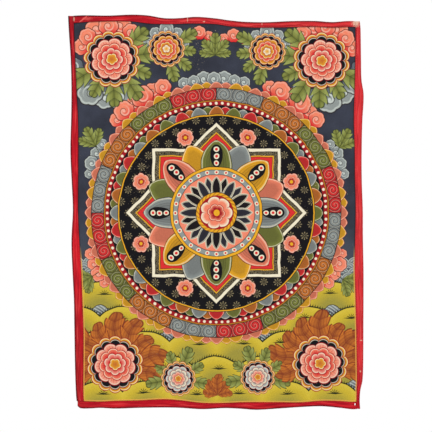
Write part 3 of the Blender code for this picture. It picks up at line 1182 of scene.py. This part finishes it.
def openPanel(x, z):
    # Moves six points of the grid round the pin hole, and gives the column and the row of the
    # lower of the two cells that they enclose.
    holeX = pinHole["x"]
    holeZ = float(outerEdge("bottom", holeX)) + pinHole["inward"]
    row, column = np.unravel_index(np.argmin(np.hypot(x - holeX, z - holeZ)), x.shape)
    column -= int(x[row, column] > holeX)
    halfX = pinHole["halfWidth"] + pinHole["canvasMargin"]
    halfZ = pinHole["halfHeight"] + pinHole["canvasMargin"]
    x[row - 1 : row + 2, column] = holeX - halfX
    x[row - 1 : row + 2, column + 1] = holeX + halfX
    z[row - 1 : row + 2, column : column + 2] = holeZ + halfZ * np.array([[-1], [0], [1]])
    return column, row - 1


def bakePanel(mesh, x, z, frontQuads, rimCount):
    # The bake's map: the front over three quarters of the square, the back squeezed beside it,
    # and the rim in a narrow strip.
    margin, span = 0.004, 0.99
    backLeft, backSpan = 0.758, 0.26
    rimLeft, rimRight = 0.970, 0.990
    height = z.max() - z.min()
    flat = np.stack([(x - x.min()) / height, (z - z.min()) / height], axis=-1).reshape(-1, 2)
    frontMap = margin + span * flat[frontQuads]
    backMap = flat[frontQuads[:, ::-1]] * [backSpan, span] + [backLeft, margin]
    rimShare = margin + span * np.linspace(0, 1, rimCount + 1)
    rimMap = np.zeros((rimCount, 4, 2))
    rimMap[:, :, 0] = [rimLeft, rimRight, rimRight, rimLeft]
    rimMap[:, [0, 1], 1] = rimShare[:-1, None]
    rimMap[:, [2, 3], 1] = rimShare[1:, None]
    addMap(mesh, "OFBake", np.concatenate([frontMap, backMap, rimMap]))


def makePanel(materials):
    # Points at even shares across and up, between the four edges, on the cloth's own relief. The
    # front and the back are this grid moved half a thickness each way, joined round the edge.
    # Since x and z depend on each other, they are settled in four rounds.
    form = panelForm
    columns, rows = form["columns"], form["rows"]
    u, v = np.meshgrid(np.linspace(0, 1, columns + 1), np.linspace(0, 1, rows + 1))
    x = (2 * u - 1) * clothForm["halfWidth"]
    for _ in range(4):
        low = outerEdge("bottom", x) + form["inset"]
        high = outerEdge("top", x) - form["inset"]
        z = low + (high - low) * v
        left = outerEdge("left", z) + form["inset"]
        right = outerEdge("right", z) - form["inset"]
        x = left + (right - left) * u
    holeColumn, holeRow = openPanel(x, z)
    y = clothY(x, z)
    half = form["thickness"] / 2
    front = np.stack([x, y - half, z], axis=-1).reshape(-1, 3)
    back = np.stack([x, y + half, z], axis=-1).reshape(-1, 3)
    count = len(front)

    holeCells = [(holeRow + step) * columns + holeColumn for step in (0, 1)]
    frontQuads = np.delete(gridQuads(columns, rows), holeCells, axis=0)
    backQuads = frontQuads[:, ::-1] + count
    index = np.arange(count).reshape(rows + 1, columns + 1)
    edge = np.concatenate([index[0, :-1], index[:-1, -1], index[-1, :0:-1], index[:0:-1, 0]])
    edgeNext = np.roll(edge, -1)
    side = index[holeRow : holeRow + 3, holeColumn : holeColumn + 2]
    hole = np.concatenate([side[0], side[1:, 1], side[2:, 0], side[1:2, 0]])
    holeNext = np.roll(hole, -1)
    rimQuads = np.concatenate([
        np.stack([edge, edge + count, edgeNext + count, edgeNext], axis=1),
        np.stack([hole, holeNext, holeNext + count, hole + count], axis=1),
    ])
    points = np.concatenate([front, back])
    quads = np.concatenate([frontQuads, backQuads, rimQuads])

    # Materials come in the order of the parts, then the medallion and the raw canvas.
    middles = points[frontQuads].mean(axis=1) * perMetre
    reach = np.hypot(middles[:, 0] - medallionPlan["x"], middles[:, 2] - medallionPlan["z"])
    part = sum(middles[:, 2] < plan["downTo"] for plan in gardenParts.values())
    inMedallion = reach < medallionPlan["border"] * medallionPlan["scale"]
    surface = np.full(len(quads), len(gardenParts) + 1)
    surface[: len(frontQuads)] = np.where(inMedallion, len(gardenParts), part)
    mesh = meshFrom("paintedPanel", points, quads, surface)
    bakePanel(mesh, x, z, frontQuads, len(rimQuads))

    gaps = []
    for side, distance in edgeDistances(points[:, 0], points[:, 2]).items():
        along = points[:, 2] if side in ("left", "right") else points[:, 0]
        gaps.append(distance - bindingWidth(side, along))
    addNumbers(mesh, "rimGap", np.min(gaps, axis=0))
    for name, motifs in gardenMotifs().items():
        placeMotifs(mesh, name, motifs, points, frontQuads)

    piece = pieceFrom("panel", mesh, materials)
    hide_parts("painted_canvas")
    return piece


bindingFinish = {
    "Roughness": 0.62,
    "Specular IOR Level": 0.08,
    "Sheen Weight": 0.02,
    "Sheen Roughness": 0.4,
}

# Scuffs on the binding, and at the upper left two painted highlights in the pale binding red:
# x, z, half width and half height in millimetres, lean, strength and colour.
scuffsAndHighlights = [
    (174.5, -6.0, 4.6, 4.6, 0.0, 1.0, "scuff"),
    (-177.0, -1.8, 0.9, 2.6, 0.0, 0.70, "scuff"),
    (-165.6, -1.6, 1.3, 4.4, 1.1, 1.0, "bindingHighlight"),
    (-160.0, -1.0, 5.5, 1.8, 0.0, 0.55, "bindingHighlight"),
    (-35.5, -1.8, 0.6, 3.0, 0.0, 0.60, "scuff"),
    (57.5, -6.8, 0.7, 1.3, 0.0, 0.60, "scuff"),
    (-15.0, -4.4, 1.3, 0.7, 0.0, 0.80, "scuff"),
    (181.2, -402.0, 1.2, 0.6, 0.0, 0.80, "scuff"),
    (180.2, -440.8, 0.8, 1.0, 0.0, 0.80, "scuff"),
]


# The noises in the binding's cloth: scale along the strip and across it, shift and detail.
bindingNoises = {
    "streak": (0.035, 0.55, 0.0, 3.0),
    "blotch": (0.03, 0.08, 3.0, 2.0),
    "fibre": (0.9, 2.2, 5.0, 2.0),
    "crinkle": (0.10, 0.5, 7.0, 3.0),
}

# What changes the binding's red: where each change starts and is full, and how strong it is.
# Places are in millimetres.
bindingWear = {
    "top": (-18.0, -11.0),
    "right": (90.0, 160.0),
    "aboveFoot": (-474.0, -430.0),
    # The next two lift the red: painted light over most of the top, and random blotches. The third
    # deepens the upper left.
    "litTop": (-90.0, -30.0, 0.8),
    "brightBlotches": (0.40, 0.66, 0.5),
    "old": (-190.0, -60.0, 0.55),
    # Streaks along the strip: painted shade in the deep ones, painted highlights in the bright and
    # pale ones.
    "deepStreaks": (0.50, 0.30, 0.75),
    "brightStreaks": (0.50, 0.62, 0.6),
    "paleStreaks": (0.56, 0.74, 0.45),
    "rust": (-330.0, -410.0, 0.35),
    "ridges": (0.42, 0.56),
    "edgeShade": (2.9, 1.4),
    "shadeBlotches": (0.30, 0.55, 0.35),
    "edgeShadeLeft": (172.0, 150.0, 0.55),
    "cornerShade": (2.0, 0.9),
    "innerShade": (0.9, 0.1, 0.55),
    # hollows: painted shade where the weave lies low.
    "hollows": (0.45, 0.0, 0.30),
    "fibres": (0.5, 0.3, 0.25),
    "scuffAndHighlightEdge": (2.45, 1.65),
    "crumbs": 2.2,
    "threadPitch": 0.3,
    "weaveShare": 0.35,
    "crinkleShare": 3.0,
    "bump": (0.6, 0.0003),
}


def makeBindingCloth():
    # The strip's own map gives millimetres along it, and across it from the fold, positive on
    # the front. What is worn, in painted shade or in painted highlight goes by that distance.
    material = startMaterial("red binding", bindingFinish)
    x, _, z = split(objectPlace())
    strip = newNode("ShaderNodeUVMap", uv_map="strip")
    alongM, acrossM, _ = split(Field(strip.outputs[0]))
    along = alongM * perMetre
    across = acrossM * perMetre
    wear = bindingWear

    def stripNoise(name):
        alongScale, acrossScale, shift, detail = bindingNoises[name]
        return noise(join(along * alongScale, across * acrossScale, shift), 1.0, detail)

    streak = stripNoise("streak")
    blotch = stripNoise("blotch")
    fibre = stripNoise("fibre")

    # Brighter red on the right and over most of the top, a painted light, and in the middle of
    # the left side and in random blotches. Deeper red at the upper left and low down.
    onTop = fade(z, *wear["top"])
    right = fade(x, *wear["right"]) * fade(z, *wear["aboveFoot"])
    right = higher(right, weigh(x, *wear["litTop"], within=onTop))
    brightShare = higher(right, stroke(z + 285.0, 50.0, 45.0)) * 0.75
    brightShare = brightShare + weigh(blotch, *wear["brightBlotches"]) - 0.15
    tone = blend("binding", "bindingBright", lower(higher(brightShare, 0.0), 1.0))
    old = weigh(z, *wear["old"], within=inside(x + 140.0, 30.0))
    # Deeper red at the upper left, then streaks along the strip: painted shade in the deep ones,
    # painted highlights in the bright and pale ones, the pale more on the right.
    tone = blend(tone, "bindingDeep", higher(old, weigh(streak, *wear["deepStreaks"])))
    tone = blend(tone, "bindingBright", weigh(streak, *wear["brightStreaks"]))
    tone = blend(tone, "bindingHighlight", weigh(streak, *wear["paleStreaks"]) + right * 0.20)
    tone = blend(tone, "rust", weigh(z, *wear["rust"], within=inside(x + 168.0, 12.0)))

    # Creases run along the strip: a painted highlight on a ridge that comes and goes, beside a
    # line of painted shade.
    ridge = across - (blotch * 9.0 + 0.3)
    comes = fade(streak, *wear["ridges"]) * (right * 0.35 + 0.35)
    tone = blend(tone, "bindingHighlight", stroke(ridge, 0.35, 0.6) * comes)
    tone = blend(tone, "bindingDeep", stroke(ridge - 1.3, 0.3, 0.5) * (onTop * 0.3 + 0.6))

    # Painted shade along the fold, most at the upper left, and under the inner edge.
    shaded = fade(size(across - 0.3), *wear["edgeShade"])
    shaded = shaded * (weigh(blotch, *wear["shadeBlotches"]) + 0.65)
    tone = blend(tone, "bindingEdge", shaded * (weigh(x, *wear["edgeShadeLeft"]) + 0.3))
    corner = inside(lengthOf(x + 172.0, z * 0.6) - 34.0, 16.0)
    tone = blend(tone, "ink", fade(size(across - 0.2), *wear["cornerShade"]) * corner * 0.85)
    inner = attribute("innerGap") * perMetre
    tone = blend(tone, "bindingEdge", weigh(inner, *wear["innerShade"]))
    weave = weaveHeight(along, across, wear["threadPitch"])
    # Painted shade in the hollows of the weave.
    tone = blend(tone, "bindingDeep", weigh(weave, *wear["hollows"]))
    tone = blend(tone, "bindingDeep", weigh(fibre, *wear["fibres"]))
    crumbs = noise(objectPlace(), 0.6, 3.0)
    # A mark in the scuff colour is wear; one in the pale binding red is a painted highlight.
    for markX, markZ, halfX, halfZ, lean, strength, worn in scuffsAndHighlights:
        above = z - markZ
        reach = lengthOf((x - above * lean - markX) * (1.0 / halfX), above * (1.0 / halfZ))
        reach = reach + crumbs * wear["crumbs"]
        tone = blend(tone, worn, weigh(reach, *wear["scuffAndHighlightEdge"], strength))

    crinkle = stripNoise("crinkle")
    height = weave * wear["weaveShare"] + crinkle * wear["crinkleShare"]
    return finishMaterial(material, tone, height, *wear["bump"])


bindingForm = {
    "clothThickness": 0.00035,
    "gap": 0.00006,  # between the binding and the canvas
    "seamGap": 0.00010,  # between two strips that meet at a corner
    "puff": 0.00045,  # how far the cloth stands off the canvas just inside the fold
    "puffReach": 0.0022,
    "foldStart": 0.0014,  # from the fold's crest to where the legs lie flat
    "hemWidth": 0.0026,  # the raw edge is turned under this far
    "hemRise": 0.00022,
    "hemSlope": 0.0006,
    "seamInset": 0.0013,  # from the inner edge to the line of stitches
    "seamDip": 0.00022,
    "seamReach": 0.0005,
    "ripple": 0.00022,
    "rippleWaves": [
        # share, turns along the strip and inward, how many times the side's phase
        (0.6, 71.0, 900.0, 1.0),
        (0.4, 163.0, -520.0, 2.0),
    ],
    "ripplePhase": {"left": 0.4, "right": 2.1, "top": 3.9, "bottom": 5.2},
    "rippleEnd": 0.003,  # the creases die away this near the inner edge
    "backShare": 0.92,  # the back leg's width as a share of the front's
    "backShift": 0.4,  # the back's creases are those from this far along
    "legSteps": 11,
    "foldSteps": 8,
    "step": 0.0013,
    "mapRows": 4,
}


def ripples(along, inward, side):
    # Long soft creases that run mostly along the strip.
    total = 0
    for share, alongTurn, inwardTurn, times in bindingForm["rippleWaves"]:
        phase = times * bindingForm["ripplePhase"][side]
        total = total + share * np.sin(along * alongTurn + inward * inwardTurn + phase)
    return bindingForm["ripple"] * total


def legHeights(inward, width, along, side):
    # How far the outer side of a leg stands off the canvas's middle, at places inward from the
    # fold: the canvas, the gap and the cloth, with a puff near the fold, the doubled hem at the
    # inner edge, and a dip along the seam.
    form = bindingForm
    base = panelForm["thickness"] / 2 + form["gap"] + form["clothThickness"]
    puff = form["puff"] * np.exp(-((inward / form["puffReach"]) ** 2))
    inHem = np.clip((inward - (width - form["hemWidth"])) / form["hemSlope"], 0, 1)
    hem = form["hemRise"] * inHem * inHem * (3 - 2 * inHem)
    fromSeam = (inward - (width - form["seamInset"])) / form["seamReach"]
    dip = form["seamDip"] * np.exp(-(fromSeam**2))
    settle = np.clip((width - inward) / form["rippleEnd"], 0, 1)
    return base + puff + hem - dip + ripples(along, inward, side) * settle


def stripSection(side, along):
    # The closed section of a folded strip at each place along it, as inward and forward arrays
    # of one row a place: the outer side from the front's inner edge, round the fold, to the
    # back's, and then the inner side the other way.
    form = bindingForm
    width = bindingWidth(side, along)[:, None]
    at = along[:, None]
    steps = np.linspace(1, 0, form["legSteps"] + 1)[None, :-1]
    foldStart = form["foldStart"]
    frontIn = foldStart + (width - foldStart) * steps
    frontOut = legHeights(frontIn, width, at, side)
    behind = at + form["backShift"]
    backWidth = width * form["backShare"]
    backIn = foldStart + (backWidth - foldStart) * steps[:, ::-1]
    backOut = -legHeights(backIn, backWidth, behind, side)

    turn = np.linspace(math.pi / 2, -math.pi / 2, form["foldSteps"] + 1)[None, :]
    frontEdge = legHeights(foldStart + 0 * width, width, at, side)
    backEdge = -legHeights(foldStart + 0 * backWidth, backWidth, behind, side)
    middle = (frontEdge + backEdge) / 2
    reach = (frontEdge - backEdge) / 2
    foldIn = foldStart * (1 - np.cos(turn)) + 0 * width
    foldOut = middle + reach * np.sin(turn)
    outerIn = np.concatenate([frontIn, foldIn, backIn], axis=1)
    outerOut = np.concatenate([frontOut, foldOut, backOut], axis=1)

    thickness = form["clothThickness"]
    least = panelForm["thickness"] / 2 + form["gap"]
    legIn = frontIn[:, ::-1]
    raised = np.maximum(0, frontOut[:, ::-1] - thickness - least)
    innerFront = least + raised * (legIn < width - form["hemWidth"])
    innerBack = np.full_like(backIn, -least)
    foldInner = foldStart - (foldStart - thickness) * np.cos(turn[:, ::-1]) + 0 * width
    foldInnerOut = middle + (reach - thickness) * np.sin(turn[:, ::-1])
    innerIn = np.concatenate([backIn[:, ::-1], foldInner, legIn], axis=1)
    innerOut = np.concatenate([innerBack[:, ::-1], foldInnerOut, innerFront], axis=1)
    return outerIn, outerOut, innerIn, innerOut


def placeOnEdge(side, along, inward, forward):
    # From a place along an edge, inward from it and forward of the cloth, to a point.
    edge = outerEdge(side, along)
    if side in ("left", "right"):
        x = edge + inward * (1 if side == "left" else -1)
        z = along + 0 * inward
    else:
        x = along + 0 * inward
        z = edge + inward * (1 if side == "bottom" else -1)
    return np.stack([x, clothY(x, z) - forward, z], axis=-1)


def openLegs(places, inward, index, keep):
    # Moves the points on both sides of one row of cells in each leg to the rim of the pin hole,
    # marks those cells as gone, and gives the quads that line the hole. Its rim is an ellipse,
    # met at five places across the strip.
    row = int(np.argmin(np.abs((places[:-1, 0] + places[1:, 0]) / 2 - pinHole["x"])))
    last = places.shape[1] - 1
    across = np.linspace(-0.93, 0.93, 5)
    halfWidths = pinHole["halfWidth"] * np.sqrt(1 - across**2)
    legs = bindingForm["legSteps"]
    half = last // 2
    linings = []
    for columns in (range(legs), range(half - legs + 1, half + 1)):
        nearest = min(columns, key=lambda column: abs(inward[row, column] - pinHole["inward"]))
        first = min(max(nearest - 2, columns[0]), columns[-1] - 4)
        chosen = np.arange(first, first + 5)
        order = 1 if inward[row, first + 4] > inward[row, first] else -1
        for layer in (chosen, last - chosen):
            rim = pinHole["inward"] + order * across * pinHole["halfHeight"]
            inward[row : row + 2, layer] = rim
            places[row, layer] = pinHole["x"] - halfWidths
            places[row + 1, layer] = pinHole["x"] + halfWidths
        keep[row, chosen[:-1]] = False
        keep[row, last - chosen[1:]] = False
        ring = np.concatenate([index[row, chosen], index[row + 1, chosen[::-1]]])
        lining = np.concatenate([index[row, last - chosen], index[row + 1, last - chosen[::-1]]])
        linings.append(np.stack([ring, np.roll(ring, -1), np.roll(lining, -1), lining], axis=1))
    return np.concatenate(linings)


def fitEnds(side, start, end, places, inward):
    # Stretches a strip a little along its edge, so that an end that stands beside another strip
    # follows that one's inner edge.
    gap = bindingForm["seamGap"]
    low, high = start, end
    if side in ("top", "bottom"):
        way = 1 if side == "bottom" else -1
        z = outerEdge(side, end) + way * inward[-1]
        high = outerEdge("right", z) - bindingWidth("right", z) - gap
        if side == "top":
            z = outerEdge(side, start) + way * inward[0]
            low = outerEdge("left", z) + bindingWidth("left", z) + gap
    elif side == "left":
        x = outerEdge(side, start) + inward[0]
        low = outerEdge("bottom", x) + bindingWidth("bottom", x) + gap
    return low + (places - start) * ((high - low) / (end - start))


def bakeStrip(mesh, quads, around, stations, distance):
    # Folds the strip's map into a few rows of the bake's square.
    rows = bindingForm["mapRows"]
    perRow = math.ceil((stations - 1) / rows)
    station = quads // around
    column = quads % around
    wrapped = (column.max(axis=1) == around - 1) & (column.min(axis=1) == 0)
    column = np.where(wrapped[:, None] & (column == 0), around, column)
    row = np.minimum(station.min(axis=1) // perRow, rows - 1)[:, None]
    u = (station - row * perRow) / perRow
    v = (row + 0.02 + 0.96 * distance[column]) / rows
    addMap(mesh, "OFBake", np.stack([0.003 + 0.994 * u, v], axis=-1))


def makeStrip(side, start, end, material):
    # The section carried along the edge from start to end, with its two ends closed.
    form = bindingForm
    steps = int(round((end - start) / form["step"]))
    along = np.linspace(start, end, steps + 1)
    outerIn, outerOut, innerIn, innerOut = stripSection(side, along)
    inward = np.concatenate([outerIn, innerIn], axis=1)
    forward = np.concatenate([outerOut, innerOut], axis=1)
    places = fitEnds(side, start, end, along[:, None] + 0 * inward, inward)
    stations, around = inward.shape
    index = np.arange(inward.size).reshape(stations, around)
    following = np.roll(index, -1, axis=1)
    keep = np.ones((stations - 1, around), bool)
    lining = openLegs(places, inward, index, keep) if side == "bottom" else np.empty((0, 4), int)
    quads = np.stack([index[:-1], following[:-1], following[1:], index[1:]], axis=-1)[keep]

    # Each end is closed by a ladder of faces between the outer and the inner side.
    ladder = np.arange(around // 2 - 1)
    partner = around - 1 - ladder
    capQuads = np.stack([ladder, partner, partner - 1, ladder + 1], axis=1)
    lastRow = (stations - 1) * around
    quads = np.concatenate([quads, lining, capQuads, capQuads[:, ::-1] + lastRow])
    if side in ("left", "top"):
        quads = quads[:, ::-1]
    points = placeOnEdge(side, places, inward, forward).reshape(-1, 3)
    name = "binding" + side.title()
    mesh = meshFrom(name, points, quads)

    # The strip's map: metres along, and metres across from the fold, positive in front.
    stepAcross = np.hypot(np.diff(outerIn, axis=1), np.diff(outerOut, axis=1))
    outerAcross = np.concatenate([np.zeros((stations, 1)), np.cumsum(stepAcross, axis=1)], axis=1)
    crest = outerAcross[:, form["legSteps"] + form["foldSteps"] // 2][:, None]
    outerAcross = crest - outerAcross
    across = np.concatenate([outerAcross, outerAcross[:, ::-1]], axis=1)
    flatPoints = np.stack([places, across], axis=-1).reshape(-1, 2)
    addMap(mesh, "strip", flatPoints[quads])
    bakeStrip(mesh, quads, around, stations, np.linspace(0, 1, around + 1))
    addNumbers(mesh, "innerGap", bindingWidth(side, along)[:, None] - inward)

    piece = pieceFrom(name, mesh, [material])
    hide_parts("binding_" + side)
    end - start


stitchForm = {
    "length": 0.0022,
    "pitch": 0.0031,
    "radius": 0.00017,
    "rise": 0.00026,
    "sunk": 0.00012,
    "sides": 6,  # the faces that close a tube are made for six
    "rings": 7,
    "wander": 0.00018,
}


def makeThread():
    # Cotton thread of two plies, whose twist shows as a slant.
    material = startMaterial("binding thread", {"Roughness": 0.7, "Specular IOR Level": 0.2})
    x, y, z = split(objectPlace())
    twist = sineOf((x + y + z) * 14.0)
    # The raised side of each ply is painted lighter: a painted highlight.
    tone = blend("thread", "bindingBright", fade(twist, -0.2, 0.9) * 0.5)
    return finishMaterial(material, tone, twist, 0.5, 0.0001)


def makeStitches(side, start, end, material, rng):
    # Running stitches along both inner edges: short tubes that rise out of the seam's dip and
    # sink back, as the square root of a sine along each. A tube's ends are two quads.
    form = stitchForm
    sides, rings = form["sides"], form["rings"]
    count = int((end - start) / form["pitch"]) - 1
    begin = start + form["pitch"] * (np.arange(count) + 0.6)
    ringShare = np.linspace(0, 1, rings)
    turn = np.arange(sides) * (fullTurn / sides)
    ring = np.arange(sides)
    following = (ring + 1) % sides
    band = np.stack([ring, following, sides + following, sides + ring], axis=1)
    tube = [band + step * sides for step in range(rings - 1)]
    tube.append(np.array([[3, 2, 1, 0], [5, 4, 3, 0]]))
    tube.append(np.array([[0, 1, 2, 3], [0, 3, 4, 5]]) + (rings - 1) * sides)
    tube = np.concatenate(tube)
    starts = np.arange(2 * count)[:, None, None] * (rings * sides)
    arch = np.sqrt(np.sin(np.pi * ringShare))[None, :]
    thick = form["radius"] * (0.45 + 0.55 * arch)[:, :, None]
    points = []
    faces = [(1, 1.0, 0.0), (-1, bindingForm["backShare"], bindingForm["backShift"])]
    for face, share, shift in faces:
        begins = begin + rng.uniform(-1, 1, count) * form["wander"]
        along = begins[:, None] + form["length"] * ringShare[None, :]
        width = bindingWidth(side, along) * share
        slant = rng.uniform(-1, 1, count)[:, None] * form["wander"] * (ringShare[None, :] - 0.5)
        inward = width - bindingForm["seamInset"] + slant
        cloth = legHeights(inward, width, along + shift, side)
        forward = cloth - form["sunk"] + form["rise"] * arch
        inwardAll = inward[:, :, None] + thick * np.cos(turn)
        forwardAll = face * (forward[:, :, None] + thick * np.sin(turn))
        alongAll = along[:, :, None] + 0 * inwardAll
        points.append(placeOnEdge(side, alongAll, inwardAll, forwardAll).reshape(-1, 3))
    quads = (starts + tube[None]).reshape(2, -1, 4)
    turned = 0 if side in ("left", "top") else 1
    quads[turned] = quads[turned, :, ::-1]
    name = "stitches" + side.title()
    mesh = meshFrom(name, np.concatenate(points), quads.reshape(-1, 4))
    piece = pieceFrom(name, mesh, [material])
    print(side, "stitches:", 2 * count)


def makeFloor():
    # A pale floor below the cloth, dished very slightly so that it isn't a flat card.
    form = {"z": -0.9, "half": 1.2, "dish": 0.004, "steps": 12}
    line = np.linspace(-form["half"], form["half"], form["steps"] + 1)
    x, y = np.meshgrid(line, line)
    z = form["z"] + form["dish"] * (np.hypot(x, y) / form["half"]) ** 2
    points = np.stack([x, y, z], axis=-1).reshape(-1, 3)
    mesh = meshFrom("floor", points, gridQuads(form["steps"], form["steps"]))
    material = startMaterial("pale floor", {"Roughness": 0.9, "Specular IOR Level": 0.1})
    grain = noise(objectPlace(1.0), 40.0, 3.0)
    pale = blend((0.78, 0.78, 0.775, 1.0), (0.82, 0.82, 0.815, 1.0), grain)
    mesh.materials.append(finishMaterial(material, pale))
    floor = addObject("floor", mesh)


def areaLight(name, x, y, z, side, watts, target):
    # A square lamp that looks at the target.
    lamp = bpy.data.lights.new(name, "AREA")
    lamp.shape = "SQUARE"
    lamp.size = side
    lamp.energy = watts
    light = addObject(name, lamp)
    light.location = (x, y, z)
    aimX, aimY, aimZ = np.array(target) - np.array([x, y, z])
    pitch = math.atan2(math.hypot(aimX, aimY), -aimZ)
    light.rotation_euler = (pitch, 0.0, math.atan2(aimY, aimX) - math.pi / 2)


def makeLightsAndCamera():
    world = bpy.data.worlds.new("studio")
    world.use_nodes = True
    sky = world.node_tree.nodes["Background"]
    sky.inputs["Color"].default_value = (1.0, 1.0, 1.0, 1.0)
    sky.inputs["Strength"].default_value = studio["sky"]
    bpy.context.scene.world = world
    middle = (0.0, 0.0, studio["centreZ"])
    areaLight("key", *studio["key"], middle)
    areaLight("fill", *studio["fill"], middle)

    lens = bpy.data.cameras.new("camera")
    lens.lens = studio["lens"]
    lens.sensor_width = studio["sensor"]
    camera = addObject("camera", lens)
    distance = studio["frameWidth"] * studio["lens"] / studio["sensor"]
    camera.location = (0.0, -distance, studio["centreZ"])
    camera.rotation_euler = (math.pi / 2, 0.0, 0.0)
    bpy.context.scene.camera = camera
    bpy.context.scene.view_settings.view_transform = "Standard"


print("painting the cloth")
paints = [makePaint(name + " paint", garden, part) for name, part in gardenParts.items()]
paints.append(makePaint("medallion paint", medallion))
panel = makePanel(paints + [makeRawCanvas()])

# Where each strip starts and ends. The bottom one covers the lower left corner, the left one the
# upper left, and the right one both right corners.
stripPlaces = {
    "footX": -0.165,  # where the left strip's foot stands on the bottom strip
    "footGap": 0.0004,
    "topLeft": 0.004,
    "topRight": -0.004,
    "low": -0.488,
}
leftFoot = outerEdge("bottom", stripPlaces["footX"]) + bindingWidth("bottom", stripPlaces["footX"])
leftFoot = float(leftFoot) + stripPlaces["footGap"]
leftTop = float(outerEdge("top", outerEdge("left", stripPlaces["topLeft"])))
rightFoot = float(outerEdge("bottom", outerEdge("right", stripPlaces["low"])))
rightTop = float(outerEdge("top", outerEdge("right", stripPlaces["topRight"])))
runs = {
    "left": (leftFoot, leftTop),
    "right": (rightFoot, rightTop),
    "top": (-0.1772, 0.1729),
    "bottom": (-0.1726, 0.1751),
}
bindingCloth = makeBindingCloth()
thread = makeThread()
rng = np.random.default_rng(11)
print("folding and sewing the binding")
for side, (start, end) in runs.items():
    makeStrip(side, start, end, bindingCloth)
    makeStitches(side, start, end, thread, rng)

print("floor, lights and camera")
makeFloor()
makeLightsAndCamera()
